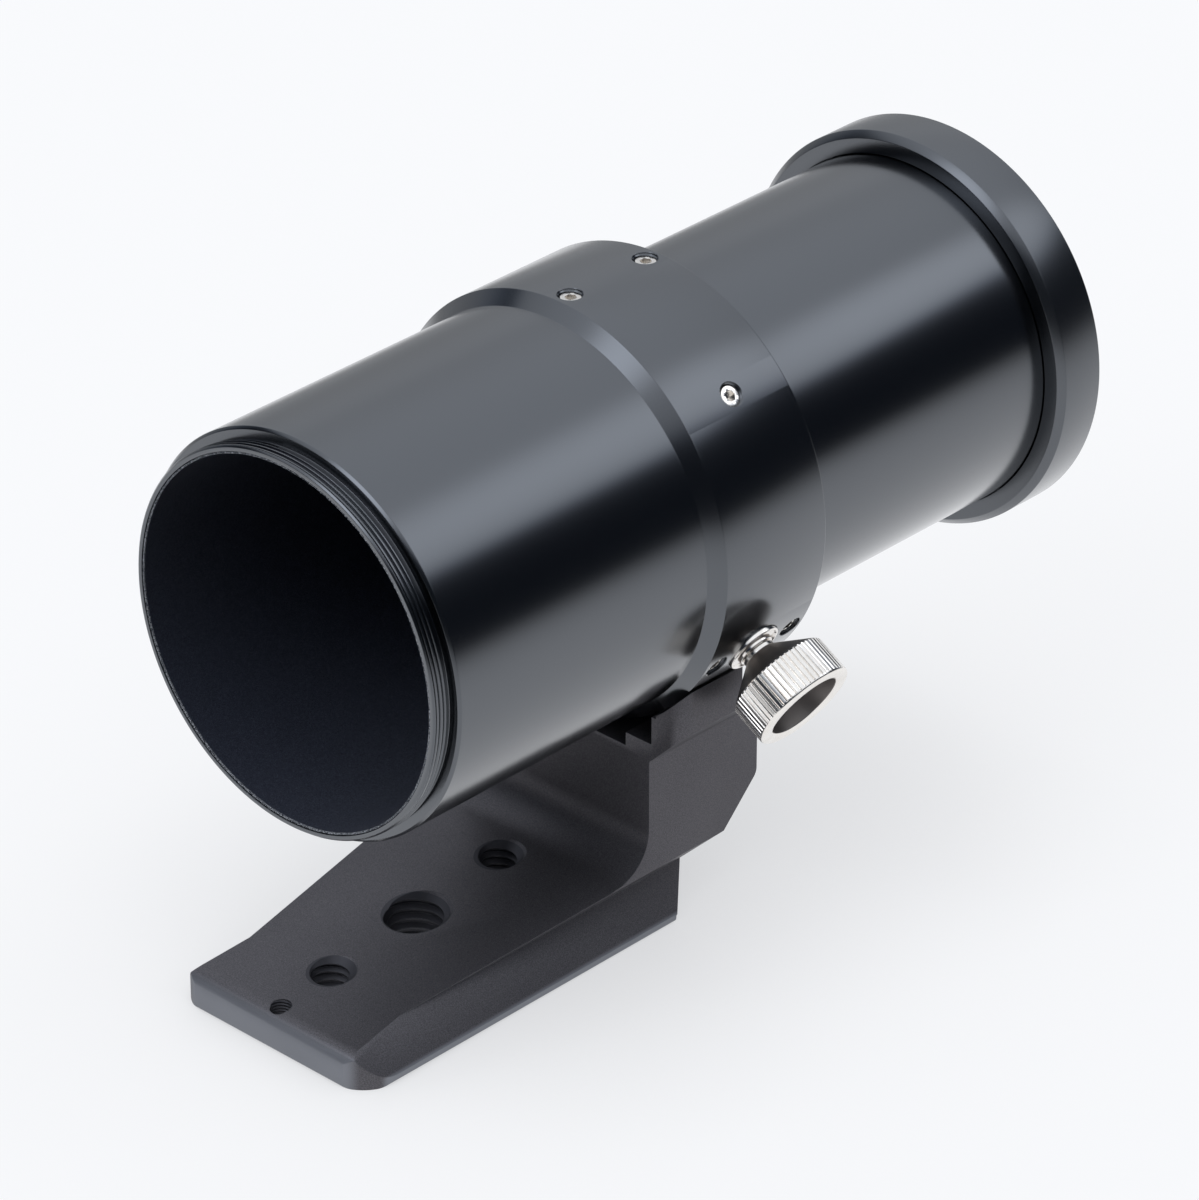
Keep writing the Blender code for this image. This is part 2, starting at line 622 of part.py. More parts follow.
def build_thumb_screw():
    """Stud, hub, cone and fluted head with its cup, lofted ring by ring."""
    stud_end = BUSH_TOP + SEAT_GAP
    hub_end = stud_end + HUB_LENGTH
    face = HEAD_BASE + HEAD_LENGTH
    cup_floor = face - HEAD_CUP_DEPTH
    rings = [
        (STUD_RADIUS, 0.0, STUD_TIP),
        (STUD_RADIUS, 0.0, stud_end),
        (HUB_RADIUS, 0.0, stud_end),
        (HUB_RADIUS, 0.0, hub_end),
        (HEAD_RADIUS - HEAD_BASE_CHAMFER, 0.0, HEAD_BASE - HEAD_BASE_CHAMFER),
        (HEAD_RADIUS, FLUTE_DEPTH, HEAD_BASE),
        (HEAD_RADIUS, FLUTE_DEPTH, face - HEAD_RIM),
        (HEAD_RADIUS - FLUTE_DEPTH, 0.0, face - HEAD_RIM),
        (HEAD_RADIUS - HEAD_RIM / 2.0, 0.0, face - HEAD_RIM / 2.0),
        (HEAD_RADIUS - HEAD_RIM_WIDTH, 0.0, face),
        (HEAD_CUP_RADIUS + HEAD_CUP_FLARE, 0.0, face),
        (HEAD_CUP_RADIUS, 0.0, face - HEAD_CUP_FLARE),
        (HEAD_CUP_RADIUS, 0.0, cup_floor),
    ]
    work = bmesh.new()
    loops = [screw_ring(work, radius, depth, height) for radius, depth, height in rings]
    for lower, upper in zip(loops, loops[1:]):
        if len(lower) == len(upper):
            join_equal_rings(work, lower, upper)
        elif len(lower) < len(upper):
            join_plain_to_fluted(work, lower, upper)
        else:
            join_plain_to_fluted(work, upper, lower)
    work.faces.new(list(reversed(loops[0])))
    work.faces.new(loops[-1])
    frame = radial_frame(THUMB_SCREW_ANGLE, SCREW_PLANE)
    part("thumb_screw", finished_mesh("thumb_screw", work), "nickel", frame)


def plate_top(along):
    """Height of the plate's sloped top face."""
    return PLATE_NOSE_HEIGHT + (along - PLATE_FRONT) * math.tan(PLATE_TOP_SLOPE)


def foot_side_outline():
    """Side view of the foot, from its front bottom edge round the cradle and back."""
    cradle_top = AXIS_HEIGHT
    haunch_run = (HAUNCH_TOP - plate_top(STEM_FRONT)) / (1.0 - math.tan(PLATE_TOP_SLOPE))
    return rounded([
        (PLATE_FRONT, 0.0, PLATE_EDGE_ROUND),
        (PLATE_FRONT, PLATE_NOSE_HEIGHT, PLATE_FRONT_ROUND),
        (STEM_FRONT - haunch_run, HAUNCH_TOP - haunch_run, HAUNCH_FOOT_ROUND),
        (STEM_FRONT, HAUNCH_TOP, HAUNCH_TOP_ROUND),
        (STEM_FRONT, cradle_top, 0.0),
        (STEM_TOP_REAR, cradle_top, 0.0),
        (STEM_TOP_REAR, STEM_TOP, 0.0),
        (STEM_REAR, STEM_TOP - STEM_TOP_CHAMFER_DROP, 0.0),
        (STEM_REAR, PLATE_END_HEIGHT + STEM_REAR - PLATE_REAR, STEM_REAR_ROUND),
        (PLATE_REAR, PLATE_END_HEIGHT, 0.0),
        (PLATE_REAR, 0.0, 0.0),
    ])


def foot_cross_outline():
    """End view of the foot: clamp groove, stem, flared cheeks and stepped cradle."""
    cheek_radius = COLLAR_RADIUS + CHEEK_GAP
    ridge_top = AXIS_HEIGHT - math.sqrt((COLLAR_RADIUS + SEAT_GAP) ** 2 - CRADLE_RIDGE_HALF_WIDTH**2)
    land_end = CRADLE_RIDGE_HALF_WIDTH + CRADLE_RIDGE_LAND
    cheek_start = -math.acos(land_end / cheek_radius)
    cheek_end = -math.acos(CHEEK_HALF_WIDTH / cheek_radius)
    flare = CHEEK_HALF_WIDTH - FOOT_HALF_WIDTH
    edge_centre = (FOOT_HALF_WIDTH - PLATE_EDGE_ROUND, PLATE_EDGE_ROUND)
    right = [
        (0.0, 0.0),
        *arc(edge_centre, PLATE_EDGE_ROUND, -math.pi / 2.0, 0.0),
        (FOOT_HALF_WIDTH, CLAMP_LIP_HEIGHT),
        (FOOT_HALF_WIDTH - CLAMP_GROOVE_DEPTH, CLAMP_NECK_HEIGHT),
        (FOOT_HALF_WIDTH, CLAMP_TOP),
        (FOOT_HALF_WIDTH, STEM_TOP),
        (CHEEK_HALF_WIDTH, STEM_TOP + flare),
        *reversed(arc((0.0, AXIS_HEIGHT), cheek_radius, cheek_start, cheek_end)),
        (land_end, ridge_top),
        (CRADLE_RIDGE_HALF_WIDTH, ridge_top),
        (CRADLE_RIDGE_HALF_WIDTH, CRADLE_LEDGE),
        (CRADLE_FLOOR_HALF_WIDTH, CRADLE_LEDGE),
        (CRADLE_FLOOR_HALF_WIDTH, CRADLE_FLOOR),
        (0.0, CRADLE_FLOOR),
    ]
    return mirrored(right)


def foot_plan_outline():
    """Top view that rounds the plate's front corners and the cheeks' edges."""
    corner = (FOOT_HALF_WIDTH - PLATE_CORNER_RADIUS, PLATE_FRONT + PLATE_CORNER_RADIUS)
    cheek = (CHEEK_HALF_WIDTH - CHEEK_FRONT_ROUND, STEM_FRONT + CHEEK_FRONT_ROUND)
    outside = CHEEK_HALF_WIDTH + OVERCUT
    chamfer_end = STEM_TOP_REAR - (CHEEK_HALF_WIDTH - FOOT_HALF_WIDTH)
    right = [
        (0.0, PLATE_FRONT - OVERCUT),
        (corner[0], PLATE_FRONT - OVERCUT),
        *arc(corner, PLATE_CORNER_RADIUS, -math.pi / 2.0, 0.0),
        (outside, corner[1]),
        (outside, STEM_FRONT - OVERCUT),
        (cheek[0], STEM_FRONT - OVERCUT),
        *arc(cheek, CHEEK_FRONT_ROUND, -math.pi / 2.0, 0.0),
        (outside, cheek[1]),
        (outside, chamfer_end - OVERCUT),
        (FOOT_HALF_WIDTH + MERGE_DISTANCE, STEM_TOP_REAR),
        (FOOT_HALF_WIDTH + MERGE_DISTANCE, STEM_REAR + OVERCUT),
        (0.0, STEM_REAR + OVERCUT),
    ]
    return mirrored(right)


def build_foot():
    """Clamp plate, stem and cradle from three views, with the tripod and fixing holes."""
    wide = CHEEK_HALF_WIDTH + OVERCUT
    side_view = prism_mesh("tripod_foot", foot_side_outline(), -wide, wide, "X")
    foot = part("tripod_foot", side_view, "blasted_anodised")
    length = (PLATE_FRONT - OVERCUT, STEM_REAR + OVERCUT)
    end_view = prism_mesh("foot_end_view", foot_cross_outline(), *length, "Y")
    combine(foot, cutter("foot_end_view", end_view), "INTERSECT")
    top_view = prism_mesh("foot_top_view", foot_plan_outline(), -OVERCUT, AXIS_HEIGHT + OVERCUT, "Z")
    combine(foot, cutter("foot_top_view", top_view), "INTERSECT")
    for name, (along, radius, mouth) in PLATE_HOLES.items():
        top = plate_top(along)
        outline = hole_outline(radius, -OVERCUT, top, mouth, top)
        tool = cutter(name, turned_mesh(name, outline, BUSH_SEGMENTS), plate_frame(along))
        combine(foot, tool, "DIFFERENCE")
    hole_end = GROOVE_RADIUS + FOOT_SCREW_RECESS + FOOT_SCREW_LENGTH + FACE_GAP
    reach = FOOT_SCREW_RADIUS + SEAT_GAP
    pocket = [(0.0, GUIDE_INNER_RADIUS), (reach, GUIDE_INNER_RADIUS), (reach, hole_end), (0.0, hole_end)]
    for place, along in FOOT_SCREW_PLACES.items():
        name = f"foot_screw_{place}_foot_hole"
        tool = cutter(name, turned_mesh(name, pocket, SCREW_SEGMENTS), radial_frame(-90.0, along))
        combine(foot, tool, "DIFFERENCE")


def build():
    """Make the whole barrel."""
    clear_scene()
    build_barrel()
    build_linings()
    build_guide_ring()
    build_draw_tube()
    build_set_screws()
    build_foot_screws()
    build_bush()
    build_pad()
    build_thumb_screw()
    build_foot()


build()
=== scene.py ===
"""Looks of a lens barrel with a sliding draw tube, standing on its dovetail foot.

The pieces are made at real size in metres, on the frame's own places. Turned pieces are spun
round their local Z axis and then laid on the barrel's axis or on a screw's axis.
"""

import math

import bmesh
import bpy
from mathutils import Matrix, Vector


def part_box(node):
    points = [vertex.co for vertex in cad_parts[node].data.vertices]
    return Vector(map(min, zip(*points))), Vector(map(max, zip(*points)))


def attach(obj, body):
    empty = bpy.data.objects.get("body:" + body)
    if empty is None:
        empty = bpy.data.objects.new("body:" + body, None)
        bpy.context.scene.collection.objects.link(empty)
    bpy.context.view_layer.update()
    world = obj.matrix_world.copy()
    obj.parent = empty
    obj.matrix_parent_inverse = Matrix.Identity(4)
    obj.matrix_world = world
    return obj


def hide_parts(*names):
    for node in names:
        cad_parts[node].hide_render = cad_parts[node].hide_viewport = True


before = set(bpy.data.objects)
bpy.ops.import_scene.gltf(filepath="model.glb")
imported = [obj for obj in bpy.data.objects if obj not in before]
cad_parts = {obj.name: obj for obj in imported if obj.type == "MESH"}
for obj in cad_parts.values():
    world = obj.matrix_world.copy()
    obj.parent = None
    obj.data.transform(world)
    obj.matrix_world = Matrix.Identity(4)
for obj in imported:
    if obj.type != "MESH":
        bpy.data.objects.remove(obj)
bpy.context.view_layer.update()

MM = 0.001

# Places read from the frame
BARREL_LOW, BARREL_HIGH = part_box("main_barrel")
TUBE_LOW, TUBE_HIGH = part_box("draw_tube")
RING_LOW, RING_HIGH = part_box("end_ring")
FRONT_FLOCK_LOW, FRONT_FLOCK_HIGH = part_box("front_lining")
TUBE_FLOCK_LOW, TUBE_FLOCK_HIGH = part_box("draw_tube_lining")
FOOT_LOW, FOOT_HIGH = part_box("tripod_foot")

# How far the collar stays inside the frame's box
BOX_MARGIN = 0.0005 * MM

AXIS_HEIGHT = (RING_LOW.z + RING_HIGH.z) / 2.0
COLLAR_RADIUS = (BARREL_HIGH.x - BARREL_LOW.x) / 2.0 - BOX_MARGIN
END_RING_RADIUS = (RING_HIGH.x - RING_LOW.x) / 2.0
TUBE_RADIUS = (TUBE_HIGH.x - TUBE_LOW.x) / 2.0
NOSE_Y = BARREL_LOW.y
COLLAR_REAR = BARREL_HIGH.y

# Barrel
FRONT_TUBE_RADIUS = 30.0 * MM
BORE_RADIUS = 27.65 * MM
NOSE_RADIUS = 28.5 * MM
NOSE_LENGTH = 3.2 * MM
NOSE_CHAMFER = 0.28 * MM
NOSE_RELIEF = 0.9 * MM
NOSE_RELIEF_DEPTH = 0.38 * MM
NOSE_RELIEF_ROUND = 0.1 * MM
NOSE_PITCH = 0.75 * MM
NOSE_THREAD_DEPTH = 0.36 * MM
NOSE_THREAD_RUNOUT = 0.12 * MM
NOSE_EDGE_STEP = 0.02 * MM
COLLAR_CHAMFER = COLLAR_RADIUS - FRONT_TUBE_RADIUS
EDGE = 0.4 * MM
EDGE_ROUND = 0.12 * MM
FINE_ROUND = 0.05 * MM
COLLAR_FOOT_ROUND = 0.06 * MM
GROOVE_RADIUS = 28.7 * MM
GROOVE_FRONT = 0.8 * MM
GROOVE_REAR_LIP = 1.0 * MM
REAR_LIP_RADIUS = 27.3 * MM

# Draw tube and end ring
TUBE_WALL = 0.8 * MM
TUBE_FRONT_ROUND = 0.25 * MM
LINING_THICKNESS = 0.25 * MM
RING_CHAMFER = 1.0 * MM
RING_SEAT_RADIUS = 27.15 * MM
RING_LAND_RADIUS = 26.4 * MM
RING_LAND_WIDTH = 0.6 * MM
RING_THREAD_END = 0.5 * MM
RING_THREAD_RELIEF = 0.4 * MM
RING_THREAD_RADIUS = 28.5 * MM
FACE_GAP = 0.3 * MM

# Screws round the collar, as angles from +X towards +Z
SCREW_PLANE = 12.1 * MM
PAIR_SPACING = 15.0 * MM
PAIR_ANGLES = {"top": 90.0, "right": -30.0, "left": 210.0}
SINGLE_SCREW_ANGLE = 43.5
SCREW_RADIUS = 1.75 * MM
SCREW_HOLE_RADIUS = 1.9 * MM
SCREW_PITCH = 0.6 * MM
SCREW_THREAD_DEPTH = 0.2 * MM
SCREW_HEAD = 31.5 * MM
SCREW_TIP = 28.85 * MM
SCREW_CHAMFER = 0.25 * MM
SCREW_TIP_SHARE = 0.7
SCREW_HOLE_FLARE = 0.12 * MM
SOCKET_FLATS = 1.5 * MM
SOCKET_DEPTH = 1.2 * MM
SOCKET_MOUTH_DROP = 0.35 * MM
SOCKET_MOUTH_RISE = 0.12 * MM
SOCKET_MOUTH_SPREAD = 0.30 * MM

# Thumb screw and its bush, as distances from the barrel's axis
THUMB_SCREW_ANGLE = -30.0
BUSH_SEAT = 31.5 * MM
BUSH_FLANGE_TOP = 32.3 * MM
BUSH_TOP = 32.7 * MM
BUSH_RADIUS = 3.0 * MM
BUSH_FLANGE_RADIUS = 4.2 * MM
BUSH_BOSS_RADIUS = 2.8 * MM
BUSH_BORE = 2.15 * MM
BUSH_CLEARANCE = 0.15 * MM
BUSH_RIM_WIDTH = 0.35 * MM
BUSH_STEP_WIDTH = 0.55 * MM
BUSH_STEP_DROP = 0.3 * MM
BUSH_OUTER_ROUND = 0.15 * MM
BUSH_STEP_ROUND = 0.06 * MM
BUSH_BOSS_ROUND = 0.08 * MM
STUD_RADIUS = 2.0 * MM
STUD_TIP = 30.0 * MM
STUD_CHAMFER = 0.3 * MM
HUB_RADIUS = 2.5 * MM
HUB_BASE = 32.85 * MM
HUB_CHAMFER = 0.1 * MM
CONE_BASE = 33.45 * MM
HEAD_BASE = 37.35 * MM
HEAD_FACE = 43.4 * MM
HEAD_RADIUS = 7.75 * MM
HEAD_RIM = 0.6 * MM
HEAD_BACK_WIDTH = 0.35 * MM
HEAD_BACK_DROP = 0.3 * MM
RIM_STEP = 0.02 * MM
RIM_WIDTH = 0.9 * MM
RIM_INNER_DROP = 0.5 * MM
CUP_RADIUS = 5.6 * MM
CUP_DEPTH = 3.6 * MM
CUP_FILLET = 0.3 * MM
FLUTES = 60
FLUTE_DEPTH = 0.26 * MM
FLUTE_RUNOUT = 0.12 * MM
FLUTE_HALF_GROOVE = 0.2
FLUTE_STEPS = 10

# Foot
PLATE_NOSE_HEIGHT = 5.2 * MM
PLATE_SLOPE = math.radians(6.7)
PLATE_REAR = 6.1 * MM
PLATE_END_HEIGHT = 1.1 * MM
PLATE_HALF_WIDTH = 19.05 * MM
PLATE_NOSE_ROUND = 3.1 * MM
PLATE_EDGE_ROUND = 0.8 * MM
PLATE_CORNER = 6.4 * MM
CLAMP_LIP = 1.3 * MM
CLAMP_NECK = 6.5 * MM
CLAMP_DEPTH = 4.4 * MM
STEM_FRONT = 0.35 * MM
STEM_REAR = FOOT_HIGH.y
STEM_FRONT_FILLET = 6.8 * MM
STEM_REAR_ROUND = 2.0 * MM
STEM_TOP = 29.1 * MM
STEM_CHAMFER_RUN = 3.9 * MM
STEM_CHAMFER_DROP = 4.6 * MM
CHEEK_HALF_WIDTH = FOOT_HIGH.x
CHEEK_RADIUS = 32.25 * MM
CHEEK_ROUND = 2.4 * MM
RIDGE_HALF_WIDTH = 19.4 * MM
RIDGE_LAND = 0.8 * MM
LEDGE_HEIGHT = 32.1 * MM
FLOOR_HALF_WIDTH = 14.5 * MM
CRADLE_GAP = 0.15 * MM
FOOT_EDGE = 0.14 * MM
FOOT_EDGE_ANGLE = math.radians(32.0)
PLATE_REAR_ROUND = 0.4 * MM

# Threaded holes in the plate: place along Y, thread radius, pitch, thread depth, mouth radius
PLATE_HOLES = {
    "pin": (-53.4 * MM, 1.6 * MM, 0.5 * MM, 0.12 * MM, 1.62 * MM),
    "front_quarter": (-43.7 * MM, 3.18 * MM, 1.27 * MM, 0.6 * MM, 3.62 * MM),
    "three_eighths": (-27.1 * MM, 4.76 * MM, 1.5875 * MM, 0.75 * MM, 4.95 * MM),
    "rear_quarter": (-10.4 * MM, 3.18 * MM, 1.27 * MM, 0.6 * MM, 3.62 * MM),
}

# The pin hole's cut widens only this far above the plate's face, so its mouth stays narrow
PIN_MOUTH_RISE = 0.6 * MM

# Where the foot gets a painted highlight: from its front face, in from its sides, above its lips
PAINTED_HIGHLIGHT_FRONT = (0.3 * MM, 1.6 * MM)
PAINTED_HIGHLIGHT_SIDE = (0.6 * MM, 0.15 * MM)
PAINTED_HIGHLIGHT_LIP = 0.5 * MM

# Small allowances at the borders of the masks
HOLE_MOUTH_INSET = 0.05 * MM
CUP_WALL_REACH = 0.04 * MM
CUP_FLOOR_REACH = 0.1 * MM

# Fineness
BARREL_SEGMENTS = 256
HOLE_SEGMENTS = 64
SCREW_SEGMENTS = 64
BUSH_SEGMENTS = 128
FLOOR_SEGMENTS = 96
ARC_STEP = math.radians(6.0)
ROUND_STEPS = 3
RIM_STEPS = 8
RIM_INNER_STEPS = 6
WELD = 1e-7
SHARP_ANGLE = math.radians(28.0)
OVERCUT = 2.0 * MM

# Colours of the finishes
ANODISED = (0.078, 0.086, 0.099, 1.0)
BLASTED_PITS = (0.096, 0.093, 0.103, 1.0)
BLASTED_PEAKS = (0.178, 0.172, 0.186, 1.0)
# Painted highlight on the plate's front and lips
BLASTED_PAINTED_HIGHLIGHT = (0.28, 0.29, 0.32, 1.0)
# Painted shade inside the plate's threaded holes
BLASTED_HOLE_SHADE = (0.075, 0.075, 0.086, 1.0)
# Painted highlight along the foot's edges
BLASTED_EDGE_HIGHLIGHT = (0.19, 0.19, 0.20, 1.0)
FLOCK_DEEP = (0.022, 0.026, 0.042, 1.0)
FLOCK_TIPS = (0.092, 0.103, 0.142, 1.0)
GLUE = (0.85, 0.88, 0.92, 1.0)
NICKEL_CLEAN = (0.92, 0.89, 0.85, 1.0)
NICKEL_STAINED = (0.86, 0.82, 0.77, 1.0)
NICKEL_DULL = (0.27, 0.25, 0.24, 1.0)
ACETAL = (0.02, 0.02, 0.02, 1.0)
BRASS = (0.70, 0.52, 0.25, 1.0)
BLACK_STEEL = (0.03, 0.03, 0.032, 1.0)

# Floor and light; a rise is two sines of height, a width two cosines from the middle
FLOOR_RADIUS = 1.0
# Painted shadow on the floor near the object, from its ambient occlusion
FLOOR_SHADE_REACH = 0.06
FLOOR_SHADE = 0.76
FLOOR_SHADE_LOW = 0.2
FLOOR_NEAR = 0.12
FLOOR_FAR = 0.75
FLOOR_FAR_SHARE = 0.12
FLOOR_LIFT = 0.80
FLOOR_PAINT = (0.245, 0.24, 0.235, 1.0)
FLOOR_GLOW = (0.945, 0.954, 0.973, 1.0)
TENT_LEVEL = 0.68
TENT_TOP_LEVEL = 1.0
TENT_RISE = (0.5, 0.85)
TENT_EDGE = math.sin(math.radians(30.5))
TENT_EDGE_SOFTNESS = 0.04
DIM_LEVEL = 0.035
SIDE_CARD_LOW = 0.33
SIDE_CARD_HIGH = 0.70
SIDE_CARD_WIDTH = (0.48, 0.8)
SIDE_CARD_RISE = (0.06, 0.58)
SIDE_CARD_AZIMUTH = math.radians(-130.0)
KEY_LEVEL = 1.7
KEY_AZIMUTH = math.radians(-6.0)
KEY_ELEVATION = math.radians(45.0)
KEY_EDGE = math.cos(math.radians(20.0))
KEY_CORE = math.cos(math.radians(6.0))
KEY_TINT = (0.93, 0.97, 1.04, 1.0)
DIM_TINT = (0.58, 0.74, 1.05, 1.0)
TENT_TINT = (0.94, 0.975, 1.03, 1.0)
GLOW_LEVEL = 0.95
GLOW_WIDTH = (0.93, 1.0)
GLOW_AZIMUTH = math.radians(143.0)
GLOW_ELEVATION = math.radians(36.5)
BACKGROUND = (0.945, 0.95, 0.965, 1.0)

# Camera, from the photograph's frame
PHOTO_HEIGHT = 1200.0
PHOTO_FOCAL = 6817.0
SENSOR = 36.0
CAMERA_PLACE = Vector((0.573318, -0.594210, 0.520845))
CAMERA_AZIMUTH = math.radians(43.482)
CAMERA_ELEVATION = math.radians(29.811)


def add_camera():
    """The camera stands where the photograph was taken."""
    data = bpy.data.cameras.new("camera")
    data.sensor_width = SENSOR
    data.lens = PHOTO_FOCAL / PHOTO_HEIGHT * SENSOR
    data.clip_start = 0.05
    data.clip_end = 20.0
    camera = bpy.data.objects.new("camera", data)
    bpy.context.scene.collection.objects.link(camera)
    level = math.cos(CAMERA_ELEVATION)
    back = Vector((
        math.sin(CAMERA_AZIMUTH) * level,
        -math.cos(CAMERA_AZIMUTH) * level,
        math.sin(CAMERA_ELEVATION),
    ))
    camera.location = CAMERA_PLACE
    camera.rotation_mode = "QUATERNION"
    camera.rotation_quaternion = (-back).to_track_quat("-Z", "Y")
    bpy.context.scene.camera = camera


# Node helpers
def add_node(tree, kind, **settings):
    """One node with its settings."""
    made = tree.nodes.new(kind)
    for key, value in settings.items():
        setattr(made, key, value)
    return made


def feed(tree, value, socket):
    """Link an output to a socket, or set the socket to a number or a colour."""
    if isinstance(value, bpy.types.NodeSocket):
        tree.links.new(value, socket)
    elif value is not None:
        socket.default_value = value


def maths(tree, operation, first, second=None):
    """A Math node; the result is its output socket."""
    made = add_node(tree, "ShaderNodeMath", operation=operation)
    for value, socket in zip((first, second), made.inputs):
        feed(tree, value, socket)
    return made.outputs[0]


def ramp(tree, value, low, high, start=0.0, end=1.0):
    """Smoothly carry a value from low..high to start..end."""
    made = add_node(tree, "ShaderNodeMapRange", interpolation_type="SMOOTHSTEP")
    for item, socket in zip((value, low, high, start, end), made.inputs):
        feed(tree, item, socket)
    return made.outputs[0]


def set_inputs(node, **values):
    """Set a node's inputs by name, with _ for a space."""
    for title, value in values.items():
        node.inputs[title.replace("_", " ")].default_value = value


def noise(tree, vector, scale, detail=2.0, roughness=0.5):
    """A noise value between 0 and 1."""
    made = add_node(tree, "ShaderNodeTexNoise")
    feed(tree, vector, made.inputs["Vector"])
    feed(tree, scale, made.inputs["Scale"])
    set_inputs(made, Detail=detail, Roughness=roughness)
    return made.outputs["Fac"]


def mix_colour(tree, share, first, second):
    """Blend two colours."""
    made = add_node(tree, "ShaderNodeMix", data_type="RGBA")
    feed(tree, share, made.inputs["Factor"])
    feed(tree, first, made.inputs["A"])
    feed(tree, second, made.inputs["B"])
    return made.outputs["Result"]


def bump(tree, height, distance, strength, normal=None):
    """A Bump node over a height in its own units."""
    made = add_node(tree, "ShaderNodeBump")
    set_inputs(made, Strength=strength, Distance=distance)
    feed(tree, height, made.inputs["Height"])
    feed(tree, normal, made.inputs["Normal"])
    return made.outputs["Normal"]


def object_place(tree):
    """Place in the object's own space."""
    return add_node(tree, "ShaderNodeTexCoord").outputs["Object"]


def split(tree, vector):
    """The X, Y and Z of a vector."""
    made = add_node(tree, "ShaderNodeSeparateXYZ")
    feed(tree, vector, made.inputs[0])
    return made.outputs


def squares(tree, first, second):
    """Sum of two squares."""
    square = maths(tree, "MULTIPLY", first, first)
    return maths(tree, "ADD", square, maths(tree, "MULTIPLY", second, second))


def scaled(colour, factor):
    """A colour made lighter or darker."""
    return tuple(factor * part for part in colour[:3]) + (1.0,)


def new_group(name, inputs, outputs):
    """A shader node group with named sockets, given as (name, kind, default)."""
    tree = bpy.data.node_groups.new(name, "ShaderNodeTree")
    for title, kind, default in inputs:
        socket = tree.interface.new_socket(title, in_out="INPUT", socket_type=kind)
        socket.default_value = default
    for title, kind in outputs:
        tree.interface.new_socket(title, in_out="OUTPUT", socket_type=kind)
    start = tree.nodes.new("NodeGroupInput")
    end = tree.nodes.new("NodeGroupOutput")
    return tree, start, end


def place_group(tree, group, **values):
    """Put a group into a material with its own values."""
    made = add_node(tree, "ShaderNodeGroup", node_tree=group)
    set_inputs(made, **values)
    return made


def lathe_marks_group():
    """Rings left by the lathe round local Z, and the cloudiness of a satin finish."""
    tree, start, end = new_group(
        "lathe marks",
        [
            ("Place", "NodeSocketVector", (0.0, 0.0, 0.0)),
            ("Marks per mm", "NodeSocketFloat", 6.0),
            ("Cloud", "NodeSocketFloat", 0.03),
        ],
        [("Height", "NodeSocketFloat"), ("Roughness change", "NodeSocketFloat")],
    )
    place = start.outputs["Place"]
    parts = split(tree, place)
    radius = maths(tree, "SQRT", squares(tree, parts["X"], parts["Y"]))
    per_metre = maths(tree, "MULTIPLY", start.outputs["Marks per mm"], 1.0 / MM)
    rings = add_node(tree, "ShaderNodeCombineXYZ")
    feed(tree, maths(tree, "MULTIPLY", parts["Z"], per_metre), rings.inputs["X"])
    feed(tree, maths(tree, "MULTIPLY", radius, per_metre), rings.inputs["Y"])
    feed(tree, noise(tree, rings.outputs[0], 1.0, 3.0, 0.6), end.inputs["Height"])
    cloud = noise(tree, place, 90.0, 3.0, 0.55)
    swing = maths(tree, "MULTIPLY", maths(tree, "SUBTRACT", cloud, 0.5), start.outputs["Cloud"])
    feed(tree, swing, end.inputs["Roughness change"])
    return tree


def blast_grain_group():
    """Fine pits of a bead-blasted face, with a little speckle."""
    tree, start, end = new_group(
        "blast grain",
        [("Grain per mm", "NodeSocketFloat", 7.0)],
        [("Height", "NodeSocketFloat"), ("Speckle", "NodeSocketFloat"), ("Patch", "NodeSocketFloat")],
    )
    place = object_place(tree)
    per_metre = maths(tree, "MULTIPLY", start.outputs["Grain per mm"], 1.0 / MM)
    fine = noise(tree, place, per_metre, 2.0, 0.65)
    coarse = noise(tree, place, maths(tree, "MULTIPLY", per_metre, 0.45), 2.0, 0.5)
    feed(tree, maths(tree, "ADD", fine, maths(tree, "MULTIPLY", coarse, 0.6)), end.inputs["Height"])
    feed(tree, ramp(tree, fine, 0.3, 0.75), end.inputs["Speckle"])
    feed(tree, noise(tree, place, 70.0, 3.0, 0.5), end.inputs["Patch"])
    return tree


def edge_softening_and_highlight_group():
    """Where two faces meet: a softened normal, and a mask of the edge itself, used to paint a
    highlight along the edge.
    """
    tree, start, end = new_group(
        "edge softening and painted highlight",
        [("Radius", "NodeSocketFloat", 0.15 * MM)],
        [("Normal", "NodeSocketVector"), ("Highlight mask", "NodeSocketFloat")],
    )
    rounding = add_node(tree, "ShaderNodeBevel", samples=6)
    feed(tree, start.outputs["Radius"], rounding.inputs["Radius"])
    shape = add_node(tree, "ShaderNodeNewGeometry")
    likeness = add_node(tree, "ShaderNodeVectorMath", operation="DOT_PRODUCT")
    feed(tree, rounding.outputs["Normal"], likeness.inputs[0])
    feed(tree, shape.outputs["Normal"], likeness.inputs[1])
    turned = maths(tree, "SUBTRACT", 1.0, likeness.outputs["Value"])
    feed(tree, rounding.outputs["Normal"], end.inputs["Normal"])
    feed(tree, ramp(tree, turned, 0.01, 0.2), end.inputs["Highlight mask"])
    return tree


LATHE_MARKS = lathe_marks_group()
BLAST_GRAIN = blast_grain_group()
EDGE_SOFTENING_AND_HIGHLIGHT = edge_softening_and_highlight_group()


def new_material(name):
    """An empty material with its Principled shader."""
    made = bpy.data.materials.new(name)
    made.use_nodes = True
    return made, made.node_tree, made.node_tree.nodes["Principled BSDF"]


